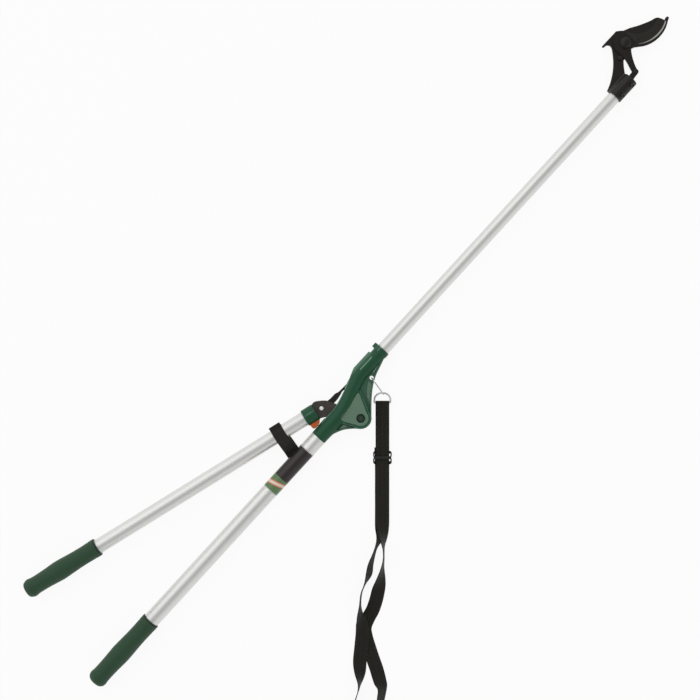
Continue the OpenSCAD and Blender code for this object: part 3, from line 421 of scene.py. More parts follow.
def label_finish():
    """Printed film: black, with a green end, one slanted pale stripe and thin border lines."""
    f = Finish("printed film", 0.30, more={"Coat Weight": 0.25})
    here = f.place()
    x, y, _ = f.parts(here)
    along = f.sums("DIVIDE", f.sums("SUBTRACT", x, LABEL_START * MM), LABEL_LENGTH * MM)
    slanted = f.total(along, f.product(f.sums("SUBTRACT", y, TUBE_Y * MM), 3.2))
    speckle = f.noise(here, 900.0, 2.0)
    black = f.shades((0.0235, 0.0162, 0.0165), speckle, 0.3)
    green = f.shades((0.115, 0.204, 0.086), speckle, 0.2)
    orange, pale, border = (0.70, 0.20, 0.10), (0.80, 0.66, 0.58), (0.62, 0.62, 0.60)
    tone = f.mix(f.sums("LESS_THAN", along, 0.30), black, green)
    for value, low, high, ink in (
        (slanted, 0.125, 0.215, orange),
        (slanted, 0.145, 0.195, pale),
        (along, 0.985, 0.996, border),
        (along, 0.004, 0.012, border),
    ):
        band = f.product(f.sums("GREATER_THAN", value, low), f.sums("LESS_THAN", value, high))
        tone = f.mix(band, tone, ink)
    f.relief(speckle, 0.02, 0.3)
    return f.done(tone, f.between(speckle, 0.2, 0.8, 0.24, 0.36))


def thread_finish(name, colour):
    """Twisted sewing thread."""
    f = Finish(name, 0.7)
    twist = f.noise(f.place(), 2400.0, 2.0)
    f.relief(twist, 0.06, 0.5)
    return f.done(f.shades(colour, twist, 0.35))


@cache
def finish(look):
    """The finish of that look, made when it is first asked for."""
    c = colours()
    maker, *given = {
        "housing": (moulded_finish, "moulded green", c.housing),
        "inlay": (moulded_finish, "pale green panel", c.inlay, 0.46),
        # Painted light: the narrow pale strips on the fin's web, where the web and the socket's underside catch light.
        "strip": (moulded_finish, "pale green strip", [part * 0.72 for part in c.inlay], 0.46),
        "grip": (grip_finish, "soft grip", c.grip, GRIP_FRONT),
        "lever_grip": (grip_finish, "soft lever grip", c.grip, LEVER_GRIP_FRONT, -LEVER_SPLAY),
        "tube": (drawn_tube_finish, "anodised tube", c.tube),
        "lever_tube": (drawn_tube_finish, "anodised lever tube", c.tube, -LEVER_SPLAY),
        "ironwork": (painted_finish, "black paint", c.ironwork),
        "arms": (painted_finish, "dull black", c.arms, (0.15, 0.145, 0.14)),
        "blade": (blade_finish, c.ironwork, c.edge),
        "plate": (plated_finish, "zinc plate", (0.60, 0.61, 0.615), 0.27),
        "screws": (plated_finish, "dark screws", (0.062, 0.060, 0.055), 0.34),
        "dark_plate": (plated_finish, "blackened steel", (0.055, 0.053, 0.052), 0.34),
        "rivet": (burnished_finish, "burnished rivet", (0.90, 0.89, 0.87)),
        "pivot_nut": (rubber_finish, "green-black", (0.024, 0.042, 0.027), 0.42),
        "pivot_bolt": (rubber_finish, "green-black bolt", (0.030, 0.054, 0.032), 0.36),
        "bumper": (rubber_finish, "orange rubber", c.bumper),
        "black_plastic": (rubber_finish, "black acetal", (0.016, 0.016, 0.0165), 0.38),
        "guide": (rubber_finish, "white acetal", (0.62, 0.60, 0.55), 0.40),
        "webbing": (webbing_finish, c.webbing, sizes().weave_pitch),
        "pile": (pile_finish, c.webbing),
        "label": (label_finish,),
        "thread": (thread_finish, "sewing thread", (0.030, 0.028, 0.026)),
    }[look]
    return maker(*given)


# Meshes


def linked(name, data):
    thing = bpy.data.objects.new(name, data)
    bpy.context.scene.collection.objects.link(thing)
    return thing


def discard(thing):
    data = thing.data
    bpy.data.objects.remove(thing)
    bpy.data.meshes.remove(data)


def add_piece(name, mesh, look, body, slot, *stands_for):
    """Puts a finished mesh, already in metres, into the scene as a piece of the tool."""
    mesh.name = name
    mesh.materials.clear()
    mesh.materials.append(finish(look))
    piece = linked(name, mesh)
    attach(piece, body)
    if stands_for:
        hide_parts(*stands_for)
    return piece


def mesh_of(bm):
    mesh = bpy.data.meshes.new("build")
    bm.to_mesh(mesh)
    bm.free()
    return mesh


def smooth(mesh, crease):
    """Smooth shading, apart from edges that bend by more than the crease in degrees."""
    mesh.shade_smooth()
    mesh.set_sharp_from_angle(angle=math.radians(crease))
    return mesh


def plain_mesh(helper):
    """The evaluated mesh of a helper object, which is then removed."""
    bpy.context.view_layer.update()
    mesh = bpy.data.meshes.new_from_object(helper.evaluated_get(bpy.context.evaluated_depsgraph_get()))
    discard(helper)
    return mesh


def mesh_from(points, faces, place=IDENTITY, crease=40.0):
    """A closed mesh from points in millimetres, with doubled points and collapsed faces taken out."""
    bm = bmesh.new()
    made = [bm.verts.new((place @ Vector(p)) * MM) for p in points]
    for face in faces:
        bm.faces.new([made[i] for i in face])
    bmesh.ops.remove_doubles(bm, verts=bm.verts, dist=1e-7)
    bmesh.ops.dissolve_degenerate(bm, edges=bm.edges, dist=1e-8)
    bmesh.ops.recalc_face_normals(bm, faces=bm.faces)
    return smooth(mesh_of(bm), crease)


def hoops(rows, count, closed=False):
    """Faces between rows of so many points, each row a ring, and back to the first row where closed."""
    faces = []
    for i in range(rows if closed else rows - 1):
        j = (i + 1) % rows
        for k in range(count):
            n = (k + 1) % count
            faces.append((i * count + k, i * count + n, j * count + n, j * count + k))
    return faces


def turned(profile, place, sides=72, closed=False):
    """A lathe piece about its own Z. The profile gives radius and height; closed ones go round a bore."""
    points = [(*polar(radius, 360 * k / sides), height) for radius, height in profile for k in range(sides)]
    return mesh_from(points, hoops(len(profile), sides, closed), place, 38.0)


def ring_profile(inner, outer, length, chamfer=0.4, start=0.0):
    """Closed profile of a tube or washer with eased outer edges."""
    corner = [(outer - chamfer, 0.0), (outer - chamfer * 0.3, chamfer * 0.3), (outer, chamfer)]
    end = start + length
    near_side = [(inner, start), *((r, start + h) for r, h in corner)]
    return near_side + [*((r, end - h) for r, h in reversed(corner)), (inner, end)]


def two_headed(half):
    """Profile of a rivet with the same head at both ends."""
    return half + [(r, -h) for r, h in reversed(half)]


def along_axis(x, y, z=0.0):
    """Frame whose Z runs along the part's +X, from the point given."""
    return move(x, y, z) @ spin(90, "Y")


def curve_through(points, steps):
    """Smooth curve through points of any number of values."""

    def eased_value(t, p, q, r, s):
        square = (2 * p - 5 * q + 4 * r - s) * t * t
        return 0.5 * (2 * q + (r - p) * t + square + (3 * q - p - 3 * r + s) * t * t * t)

    out = []
    last = len(points) - 1
    for i in range(last):
        values = list(zip(points[max(i - 1, 0)], points[i], points[i + 1], points[min(i + 2, last)]))
        out += [[eased_value(step / steps, *four) for four in values] for step in range(steps)]
    return [*out, list(points[last])]


def wire(path, radius, place, sides):
    """A closed loop of round wire along a path of points."""
    path = [Vector(p) for p in path]
    count = len(path)
    points = []
    side = None
    for i, p in enumerate(path):
        along = (path[(i + 1) % count] - path[i - 1]).normalized()
        side = side or along.orthogonal().normalized()
        side = (side - along * side.dot(along)).normalized()
        other = along.cross(side)
        for k in range(sides):
            across, up = polar(radius, 360 * k / sides)
            points.append(p + across * side + up * other)
    return mesh_from(points, hoops(count, sides, True), place)


def merged_copy(node, distance):
    """The triangles of a solid, joined up for shaping."""
    bm = bmesh.new()
    bm.from_mesh(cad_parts[node].data)
    bmesh.ops.remove_doubles(bm, verts=bm.verts, dist=distance)
    return bm


def softened(node, grid, passes, keep):
    """A copy of a solid with its edges rounded on a grid in metres, as moulding leaves them."""
    helper = linked("moulding", mesh_of(merged_copy(node, 1e-6)))
    remesh = helper.modifiers.new("remesh", "REMESH")
    remesh.mode = "VOXEL"
    remesh.voxel_size = grid
    ease = helper.modifiers.new("ease", "SMOOTH")
    ease.factor = 0.5
    ease.iterations = passes
    helper.modifiers.new("thin", "DECIMATE").ratio = keep
    mesh = plain_mesh(helper)
    mesh.shade_smooth()
    return mesh


def eased(node, width):
    """A copy of a plate or nut with its sharp edges broken to that width, and marked for its finish."""
    bm = merged_copy(node, 5e-5)
    bmesh.ops.dissolve_limit(bm, angle_limit=math.radians(0.5), verts=bm.verts, edges=bm.edges)
    marks = bm.faces.layers.float.new("eased")
    sharp = [e for e in bm.edges if e.is_manifold and e.calc_face_angle(0.0) > math.radians(35)]
    broken = bmesh.ops.bevel(
        bm, geom=sharp, offset=width * MM, offset_type="OFFSET", segments=2, profile=0.5, affect="EDGES"
    )
    for face in broken["faces"]:
        face[marks] = 1.0
    bmesh.ops.recalc_face_normals(bm, faces=bm.faces)
    helper = linked("plate", smooth(mesh_of(bm), 50.0))
    helper.modifiers.new("flat faces", "WEIGHTED_NORMAL").keep_sharp = True
    return plain_mesh(helper)


# Repeats made with node trees


class Repeat(Nodes):
    """A tree with named inputs that sets one shape on many points."""

    def __init__(self, name, **inputs):
        super().__init__(bpy.data.node_groups.new(name, "GeometryNodeTree"))
        for label, kind in {"Geometry": "NodeSocketGeometry", **inputs}.items():
            self.tree.interface.new_socket(label, in_out="INPUT", socket_type=kind)
        self.tree.interface.new_socket("Geometry", in_out="OUTPUT", socket_type="NodeSocketGeometry")
        self.given = self.node("NodeGroupInput").outputs

    def step(self, kind, inputs=None, **settings):
        return self.node(kind, inputs, **settings).outputs[0]

    def finished(self, points, shape, rotation):
        """The tree, ended with the shape on the points as real, smooth geometry in its finish."""
        on_points = {"Points": points, "Instance": shape, "Rotation": rotation}
        real = self.step("GeometryNodeRealizeInstances", {0: self.step("GeometryNodeInstanceOnPoints", on_points)})
        rounded = self.step("GeometryNodeSetShadeSmooth", {"Geometry": real})
        dressed = {"Geometry": rounded, "Material": self.given["Finish"]}
        self.node("NodeGroupOutput", {0: self.step("GeometryNodeSetMaterial", dressed)})
        return self.tree


@cache
def row_tree():
    """Rounded beads or stitches along lines, by their pitch, half sizes and finish."""
    t = Repeat("bead row", Pitch="NodeSocketFloat", Size="NodeSocketVector", Finish="NodeSocketMaterial")
    line = t.step("GeometryNodeMeshToCurve", {0: t.given["Geometry"]})
    spaced = t.step("GeometryNodeResampleCurve", {"Curve": line, "Length": t.given["Pitch"]}, mode="LENGTH")
    ball = t.step("GeometryNodeMeshUVSphere", {"Segments": 10, "Rings": 6, "Radius": 1.0})
    bead = t.step("GeometryNodeTransform", {"Geometry": ball, "Scale": t.given["Size"]})
    along = t.step("GeometryNodeInputTangent")
    return t.finished(spaced, bead, t.step("FunctionNodeAlignRotationToVector", {"Vector": along}, axis="X"))


@cache
def copies_tree():
    """One object's shape at each point, with its Z along the point's own facing."""
    t = Repeat("copies", Shape="NodeSocketObject", Finish="NodeSocketMaterial")
    shape = t.node("GeometryNodeObjectInfo", {"Object": t.given["Shape"]}).outputs["Geometry"]
    facing = t.step("GeometryNodeInputNamedAttribute", {"Name": "facing"}, data_type="FLOAT_VECTOR")
    upright = t.step("FunctionNodeAlignRotationToVector", {"Vector": facing}, axis="Z")
    return t.finished(t.given["Geometry"], shape, upright)


def repeated(mesh, tree, **inputs):
    """What a tree makes on a mesh of points or lines, as a plain mesh."""
    helper = bpy.data.objects.new("repeat", mesh)
    modifier = helper.modifiers.new("repeat", "NODES")
    modifier.node_group = tree
    for item in tree.interface.items_tree:
        if item.item_type == "SOCKET" and item.in_out == "INPUT" and item.name in inputs:
            modifier[item.identifier] = inputs[item.name]
    bpy.context.scene.collection.objects.link(helper)
    return plain_mesh(helper)


def bead_row(lines, pitch, size, look):
    """Beads along lines of points in metres."""
    points, edges = [], []
    for line in lines:
        edges += [(i, i + 1) for i in range(len(points), len(points) + len(line) - 1)]
        points += [tuple(p) for p in line]
    mesh = bpy.data.meshes.new("lines")
    mesh.from_pydata(points, edges, [])
    return repeated(mesh, row_tree(), Pitch=pitch, Size=size, Finish=finish(look))


def copies(shape_mesh, places, look):
    """The shape at each place, a point in millimetres and the direction that its Z faces."""
    mesh = bpy.data.meshes.new("points")
    mesh.from_pydata([tuple(Vector(point) * MM) for point, _ in places], [], [])
    facing = mesh.attributes.new("facing", "FLOAT_VECTOR", "POINT")
    for item, (_, direction) in zip(facing.data, places):
        item.vector = direction
    shape = linked("shape", shape_mesh)
    made = repeated(mesh, copies_tree(), Shape=shape, Finish=finish(look))
    discard(shape)
    return smooth(made, 40.0)


WASHER_T = 0.75
# Crown of a pan head and the shape of its slots, as shares of its radius and height
CROWN = [(1.0, 0.55), (0.94, 0.75), (0.72, 0.93), (0.35, 1.0), (0.0, 1.0)]
SLOT_LENGTH, SLOT_WIDTH, SLOT_FLOOR, SLOT_TAPER = 0.62, 0.15, 0.25, 0.55
BOX_SIDES = [(0, 3, 2, 1), (4, 5, 6, 7), (0, 1, 5, 4), (1, 2, 6, 5), (2, 3, 7, 6), (3, 0, 4, 7)]


def cross_head(radius, height, shank, washer=0.0):
    """Pan head with a cross recess, on a washer where one is asked for. Its seat is at height 0."""
    base = WASHER_T if washer else 0.0
    seat = [(washer, 0), (washer, WASHER_T - 0.05), (radius, base)] if washer else [(radius, 0)]
    profile = [(0, -shank), (radius / 2, -shank), (radius / 2, 0), *seat]
    profile += [(radius * across, base + height * up) for across, up in CROWN]
    head = linked("head", turned(profile, IDENTITY, 40))
    long, wide = radius * SLOT_LENGTH, radius * SLOT_WIDTH
    ends = ((base + height * SLOT_FLOOR, SLOT_TAPER), (base + height + 0.5, 1.0))
    outline = ((-long, -wide), (long, -wide), (long, wide), (-long, wide))
    corners = [(x * taper, y, z) for z, taper in ends for x, y in outline]
    cutters = [linked("slot", mesh_from(corners, BOX_SIDES, spin(angle))) for angle in (0, 90)]
    for cutter in cutters:
        cut = head.modifiers.new("slot", "BOOLEAN")
        cut.object = cutter
        cut.solver = "EXACT"
    mesh = plain_mesh(head)
    for cutter in cutters:
        discard(cutter)
    return mesh


# Pieces


class PRUNER_OT_tubes(bpy.types.Operator):
    """Make the upper pole and both handle tubes, with eased ends"""

    bl_idname = "pruner.tubes"
    bl_label = "Tubes"

    def execute(self, context):
        upper = along_axis(64.0, POLE_Y, MID)
        fixed = along_axis(-631.0, TUBE_Y, MID)
        lever = LEVER_FRAME @ along_axis(-632.0, LEVER_V)
        for name, node, look, body, bore, radius, length, place in (
            ("upper_pole_tube", "upper_pole", "tube", "frame", 9.8, 11.0, 666.0, upper),
            ("fixed_handle_tube", "fixed_tube", "tube", "frame", 12.5, 14.0, 558.0, fixed),
            ("lever_handle_tube", "lever_tube", "lever_tube", "lever", 11.3, 12.5, 567.0, lever),
        ):
            tube = turned(ring_profile(bore, radius, length), place, closed=True)
            add_piece(name, tube, look, body, "pole_aluminium", node)
        return {"FINISHED"}


GRIP_LENGTH = 143.0
GRIP_BORE_END = GRIP_LENGTH - 6.0
PALM_R = 17.0
WAISTED_TO = 139.0
GROOVE_AT, GROOVE_WIDTH, GROOVE_DEPTH = 12.5, 1.1, 0.35
# Radius and distance from the front: lip, waist, palm swell, waist and end bulb
GRIP_OUTSIDE = [
    (15.5, 0.0), (16.0, 2.0), (16.0, 9.0), (15.6, 24.0), (15.7, 40.0), (16.2, 54.0), (16.97, 75.0), (16.5, 88.0),
    (15.8, 102.0), (15.5, 117.0), (15.7, 126.0), (16.4, 132.0), (15.2, 137.5), (11.6, 141.6), (7.2, GRIP_LENGTH),
]


def near(value, middle, width):
    """1 at the middle, fading out over the width."""
    return math.exp(-(((value - middle) / width) ** 2))


def ramp(value, low, high):
    """From 0 at low to 1 at high, held beyond them."""
    return min(max((value - low) / (high - low), 0.0), 1.0)


def grip_profile(bore, waisting):
    """Grip from its open front to its rounded end and back along its blind bore."""
    outside = curve_through(GRIP_OUTSIDE, 8)
    outside = [(PALM_R - (PALM_R - r) * waisting, h) if h < WAISTED_TO else (r, h) for r, h in outside]
    lip = [(bore, 0.0), (outside[0][0] - 0.6, 0.0)]
    grooved = [(r - GROOVE_DEPTH * near(h, GROOVE_AT, GROOVE_WIDTH), h) for r, h in outside]
    dimple = [(3.0, GRIP_LENGTH), (2.4, GRIP_LENGTH - 0.5), (0.0, GRIP_LENGTH - 0.6)]
    return lip + grooved + dimple + [(0.0, GRIP_BORE_END), (bore, GRIP_BORE_END), (bore, 0.0)]


class PRUNER_OT_grips(bpy.types.Operator):
    """Make the two soft grips, each turned with a blind bore over its tube"""

    bl_idname = "pruner.grips"
    bl_label = "Grips"

    def execute(self, context):
        fixed = move(GRIP_FRONT, TUBE_Y, MID)
        lever = LEVER_FRAME @ move(LEVER_GRIP_FRONT, LEVER_V)
        for name, node, bore, waisting, front, body, look in (
            ("fixed_hand_grip", "fixed_grip", 14.1, 1.0, fixed, "frame", "grip"),
            ("lever_hand_grip", "lever_grip", 12.6, 1.3, lever, "lever", "lever_grip"),
        ):
            mesh = turned(grip_profile(bore, waisting), front @ spin(-90, "Y"), 80)
            add_piece(name, mesh, look, body, "grip_green", node)
        return {"FINISHED"}


class PRUNER_OT_label(bpy.types.Operator):
    """Make the film sleeve on the fixed handle, printed with plain bands"""

    bl_idname = "pruner.label"
    bl_label = "Label"

    def execute(self, context):
        film = turned(ring_profile(14.02, 14.2, LABEL_LENGTH, 0.05), along_axis(LABEL_START, TUBE_Y, MID), 96, True)
        add_piece("tube_film", film, "label", "frame", "label_film", "tube_label")
        return {"FINISHED"}


# The housing's sweep from the fixed tube to the pole, its keel and the parts of its socket
SWEEP_FROM, SWEEP_LENGTH = -25.0, 87.0
KEEL_ENDS = (24.0, 93.6)
KEEL_FROM, KEEL_TOP = 59.0, 66.5
KEEL_CORE = 3.9
KEEL_CROWN = 0.72
RIDGE_ENDS = (60.5, 89.5)
COLLAR_FROM = 103.5
WEB_HALF = 3.0
STRIP_T = 0.6
STRIP_MARGIN = 3.0
# Edge of the fin below the neck, as in the part's source, and the edges of the two narrow pale strips of painted light
FIN_LEFT = [(-62.0, 19.5), (-50.0, 15.5), (-34.0, 7.8), (-20.5, -4.0)]
NECK_STRIP_TOP = [(-40.5, 14.7), (-33.0, 14.3), (-28.4, 13.2), (-24.6, 7.6), (-20.3, -0.6)]
SOCKET_STRIP = [(70.5, 36.0), (80.0, 37.2), (90.0, 38.0), (97.0, 38.6), (90.0, 38.9), (80.0, 38.9), (70.0, 38.4)]


def crowned_keel(mesh):
    """Rounds off the keel's flat cheeks towards its outer edge, outside the slot of the drive link."""
    for vertex in mesh.vertices:
        x, y, z = vertex.co / MM
        rise = min((y - KEEL_FROM) / (KEEL_TOP - KEEL_FROM), 1.0)
        proud = abs(z - MID) - KEEL_CORE
        if KEEL_ENDS[0] < x < KEEL_ENDS[1] and rise > 0 and proud > 0:
            half = KEEL_CORE + proud * (1 - KEEL_CROWN * rise * rise)
            vertex.co.z = (MID + math.copysign(half, z - MID)) * MM


def body_y(x):
    """Middle line of the housing's body, as it sweeps from the fixed tube up to the pole."""
    t = ramp(x, SWEEP_FROM, SWEEP_FROM + SWEEP_LENGTH)
    return TUBE_Y + (POLE_Y - TUBE_Y) * t * t * (3 - 2 * t)


def housing_highlight(place, normal):
    """How strongly a painted highlight pales a place on the housing, from 0 to 1."""
    x, y, z = place
    out, facing = abs(z - MID), abs(normal.z)
    below = body_y(x) - y
    amount = 0.0
    if out > 10 and RIDGE_ENDS[0] < x < RIDGE_ENDS[1]:  # ridge along the socket
        amount = near(y, 56.4, 0.9)
    elif out > 10.5 and x > COLLAR_FROM:  # its end on the collar
        amount = 0.55 * near(y, 56.6, 1.0)
    elif 4.9 < out < 5.8 and facing > 0.75 and below > 11.8:  # rim of the fin
        amount = 0.30
    elif 9.9 < out < 11.7 and 0.25 < facing < 0.93 and below > 13.0:  # edge of the pad
        amount = 0.42
    elif out > 5.5 and below < -8.0:  # lips of the lever's slot
        lip = ramp(normal.y, 0.66, 0.86) * ramp(-below, 8.0, 10.5) * ramp(out, 9.4, 8.2)
        amount = 0.7 * lip * ramp(x, -54.0, -46.0) * ramp(x, 36.0, 26.0)
    elif out < 3.6 and facing > 0.7 and below > 10.0:  # web of the fin
        amount = 0.17
    if KEEL_ENDS[0] < x < KEEL_ENDS[1] and y > KEEL_FROM and out > KEEL_CORE:  # cheeks of the keel
        return max(amount, 0.44 * min((y - KEEL_FROM) / 5.0, 1.0))
    if x > COLLAR_FROM and y > 60.0:  # tab of the collar
        return max(amount, 0.16)
    return amount


def mark_painted_highlight(mesh, measure):
    """Marks each point of a moulding by how strongly its painted highlight shows, for its finish."""
    marks = mesh.attributes.new("painted_highlight_and_wear", "FLOAT", "POINT")
    for vertex, mark in zip(mesh.vertices, marks.data):
        mark.value = measure(vertex.co / MM, vertex.normal)


def painted_light_strip_outlines():
    """The narrow pale strips of painted light on the fin's web: one under the neck and one under the socket."""
    edge = [Vector(p) for p in curve_through(FIN_LEFT, 8)]
    inner = []
    for a, b in zip(edge, edge[1:]):
        along = (b - a).normalized()
        inner.append(a + STRIP_MARGIN * Vector((-along.y, along.x)))
    low = [p for p in inner if p.x > NECK_STRIP_TOP[0][0] + 0.8]
    top = [Vector(p) for p in reversed(curve_through(NECK_STRIP_TOP, 4))]
    return {"neck": low + top, "socket": [Vector(p) for p in SOCKET_STRIP]}


def flat_painted_light_strip(outline, side):
    """A thin plate of painted light on the web, with its rim eased by a second, smaller outline."""
    count = len(outline)
    middle = sum(outline, Vector((0, 0))) / count
    top = WEB_HALF + STRIP_T
    points = []
    for shrink, height in ((0.0, WEB_HALF - 0.2), (0.0, top - 0.2), (0.2, top)):
        points += [(*(p + (middle - p).normalized() * shrink), MID + side * height) for p in outline]
    return mesh_from(points, [range(count), range(2 * count, 3 * count), *hoops(3, count)])


class PRUNER_OT_housing(bpy.types.Operator):
    """Make the housing's two shells and pale panels with rounded edges, painted highlights and strips of painted light
    """

    bl_idname = "pruner.housing"
    bl_label = "Housing"

    def execute(self, context):
        for side, way in (("front", 1), ("back", -1)):
            shell = softened(f"housing_{side}", sizes().edge_softness, 4, 0.45)
            crowned_keel(shell)
            # Painted highlights: the shell's mesh is marked along its light lines and paler faces, and its finish pales
            # there.
            mark_painted_highlight(shell, housing_highlight)
            add_piece(f"housing_shell_{side}", shell, "housing", "frame", "housing_green", f"housing_{side}")
            panel = softened(f"inlay_{side}", 0.0003, 2, 0.4)
            add_piece(f"inlay_panel_{side}", panel, "inlay", "frame", "inlay_green", f"inlay_{side}")
            strip = softened(f"fin_panel_{side}", 0.0002, 1, 0.4)
            add_piece(f"fin_strip_{side}", strip, "inlay", "frame", "inlay_green", f"fin_panel_{side}")
            # Painted light: pale strips on the web under the neck and under the socket, where those surfaces catch
            # light.
            for place, outline in painted_light_strip_outlines().items():
                add_piece(f"{place}_strip_{side}", flat_painted_light_strip(outline, way), "strip", "frame", "inlay_green")
        return {"FINISHED"}


LINK_RIVET_X = -47.8
LINK_RIVET = [(0, 7.25), (1.6, 7.2), (2.7, 6.95), (3.35, 6.5), (3.5, 6.0), (3.0, 6.0)]


def sheen_line(place, normal):
    """How strongly the painted highlight line along the ferrule shows at a place."""
    x, v, z = LEVER_FRAME.inverted() @ place
    return 0.30 * near(v - LEVER_V, 3.7, 1.3) * near(x, -70.0, 9.0) if abs(z) > 10 else 0.0


class PRUNER_OT_lever_iron(bpy.types.Operator):
    """Make the lever's ferrule, arm plates, rivet and bumper, and the link that it drives"""

    bl_idname = "pruner.lever_iron"
    bl_label = "Lever ironwork"

    def execute(self, context):
        ferrule = softened("lever_ferrule", 0.0004, 3, 0.5)
        # Painted highlight: a pale line along the ferrule, marked in its mesh.
        mark_painted_highlight(ferrule, sheen_line)
        add_piece("ferrule_moulding", ferrule, "housing", "lever", "housing_green", "lever_ferrule")
        for side in ("front", "back"):
            plate = eased(f"lever_arm_{side}", 0.45)
            add_piece(f"arm_plate_{side}", plate, "arms", "lever", "black_steel", f"lever_arm_{side}")
        bumper = softened("bumper", 0.0003, 4, 0.5)
        add_piece("rubber_bumper", bumper, "bumper", "lever", "bumper_orange", "bumper")
        rivet = turned(two_headed(LINK_RIVET), LEVER_FRAME @ move(LINK_RIVET_X, LEVER_V), 40)
        add_piece("bright_link_rivet", rivet, "rivet", "lever", "bright_steel", "link_rivet")
        bar = eased("drive_link", 0.45)
        add_piece("link_bar", bar, "ironwork", "drive_link", "black_steel", "drive_link")
        return {"FINISHED"}


BOLT_HEAD_R, BOLT_R = 9.8, 5.0
BOLT_SEAT, BOLT_DOME = 3.35, 5.5
PIVOT_WASHER = ring_profile(5.1, 10.8, 1.2, 0.3, 2.15)
STOP_STUD = [
    (0, 3.35), (2.6, 3.3), (3.3, 3.05), (4.0, 2.4), (4.2, 1.8), (4.2, PLATE_FACES[0]), (2.1, PLATE_FACES[0]),
    (2.1, PLATE_FACES[1]), (0, PLATE_FACES[1]),
]
TAIL_RIVET = [(0, 6.4), (2.0, 6.38), (3.1, 6.2), (3.9, 5.7), (4.2, 5.0), (3.0, 5.0)]


def dome_bolt():
    """Profile of the blade's pivot bolt, from the top of its dome down to the ground."""
    dome = []
    for angle in range(18, 85, 6):
        up, across = polar(1.0, angle)
        dome.append((BOLT_HEAD_R * across, BOLT_SEAT + BOLT_DOME * up))
    rim = [(BOLT_HEAD_R, BOLT_SEAT + 0.25), (BOLT_HEAD_R - 0.2, BOLT_SEAT), (BOLT_R, BOLT_SEAT)]
    return [(0, 8.75), (2.2, 8.62), *dome, *rim, (BOLT_R, 0.6 - MID), (BOLT_R - 0.6, -MID), (0, -MID)]


class PRUNER_OT_head(bpy.types.Operator):
    """Make the collar, hook plate, blade, clevis and their pins"""

    bl_idname = "pruner.head"
    bl_label = "Cutting head"

    def execute(self, context):
        for node, name, body, width, look, slot in (
            ("head_collar", "collar_sleeve", "frame", 0.4, "ironwork", "black_steel"),
            ("hook_plate", "hook_blank", "frame", 0.5, "ironwork", "black_steel"),
            ("blade", "blade_blank", "blade", 0.2, "blade", "coated_blade"),
            ("clevis", "clevis_fork", "clevis", 0.3, "ironwork", "black_steel"),
            ("blade_pivot_nut", "pivot_nut", "frame", 0.4, "ironwork", "black_steel"),
        ):
            add_piece(name, eased(node, width), look, body, slot, node)
        for node, name, body, profile, place, sides, closed in (
            ("blade_pivot_bolt", "pivot_dome_bolt", "frame", dome_bolt(), BLADE_PIVOT, 72, False),
            ("blade_pivot_washer", "pivot_washer", "frame", PIVOT_WASHER, BLADE_PIVOT, 72, True),
            ("stop_pin", "stop_stud", "frame", STOP_STUD, STOP_AT, 48, False),
            ("tail_pin", "tail_rivet", "blade", two_headed(TAIL_RIVET), TAIL_AT, 48, False),
        ):
            mesh = turned(profile, HEAD_FRAME @ move(*place), sides, closed)
            add_piece(name, mesh, "ironwork", body, "black_steel", node)
        return {"FINISHED"}


WELD_X = (1.8, 14.0, 28.0, 39.8)
WELD_PROUD = 0.35
RIPPLE_SIZE = (0.0016, 0.00175, 0.00175)


class PRUNER_OT_welds(bpy.types.Operator):
    """Lay the rippled weld beads where the hook plate meets the collar"""

    bl_idname = "pruner.welds"
    bl_label = "Weld beads"

    def execute(self, context):
        lines = []
        for z, lift in zip(PLATE_FACES, (WELD_PROUD, -WELD_PROUD)):
            y = math.sqrt(COLLAR_R * COLLAR_R - z * z) + WELD_PROUD
            lines.append([(HEAD + Vector((x, y, z + lift))) * MM for x in WELD_X])
        # Painted highlight: the beads take the paler dull black of the arm plates, so that they read as a light line
        # along the weld.
        beads = bead_row(lines, sizes().weld_pitch, RIPPLE_SIZE, "arms")
        add_piece("weld_ripples", beads, "arms", "frame", "black_steel", "weld_beads")
        return {"FINISHED"}


COLLAR_SCREWS_X = (9.5, 33.0)
COLLAR_SCREW_LEAN = 40
HOUSING_SCREWS = ((-59.0, TUBE_Y), (33.0, 20.0), (108.0, 65.7))
HOUSING_SCREW_SEAT = MID - 4.0


class PRUNER_OT_fasteners(bpy.types.Operator):
    """Make the cross-head screws of the collar and housing, and the lever pivot's nut and bolt"""

    bl_idname = "pruner.fasteners"
    bl_label = "Fasteners"

    def execute(self, context):
        outward = spin(COLLAR_SCREW_LEAN, "X") @ Vector((0, 0, 1))
        places = [(HEAD + Vector((x, 0, 0)) + outward * COLLAR_R, outward) for x in COLLAR_SCREWS_X]
        screws = copies(cross_head(3.9, 2.6, 4.5, 5.0), places, "screws")
        add_piece("collar_cross_screws", screws, "screws", "frame", "black_steel", "collar_screws")
        places = [((x, y, HOUSING_SCREW_SEAT), (0, 0, -1)) for x, y in HOUSING_SCREWS]
        screws = copies(cross_head(2.8, 1.75, 5.8), places, "dark_plate")
        add_piece("housing_cross_screws", screws, "dark_plate", "frame", "black_steel", "housing_screws")
        for node, name, look in (
            ("lever_pivot_nut", "pivot_lock_nut", "pivot_nut"),
            ("lever_pivot_bolt", "pivot_hex_bolt", "pivot_bolt"),
        ):
            add_piece(name, eased(node, 0.3), look, "frame", "black_steel", node)
        return {"FINISHED"}


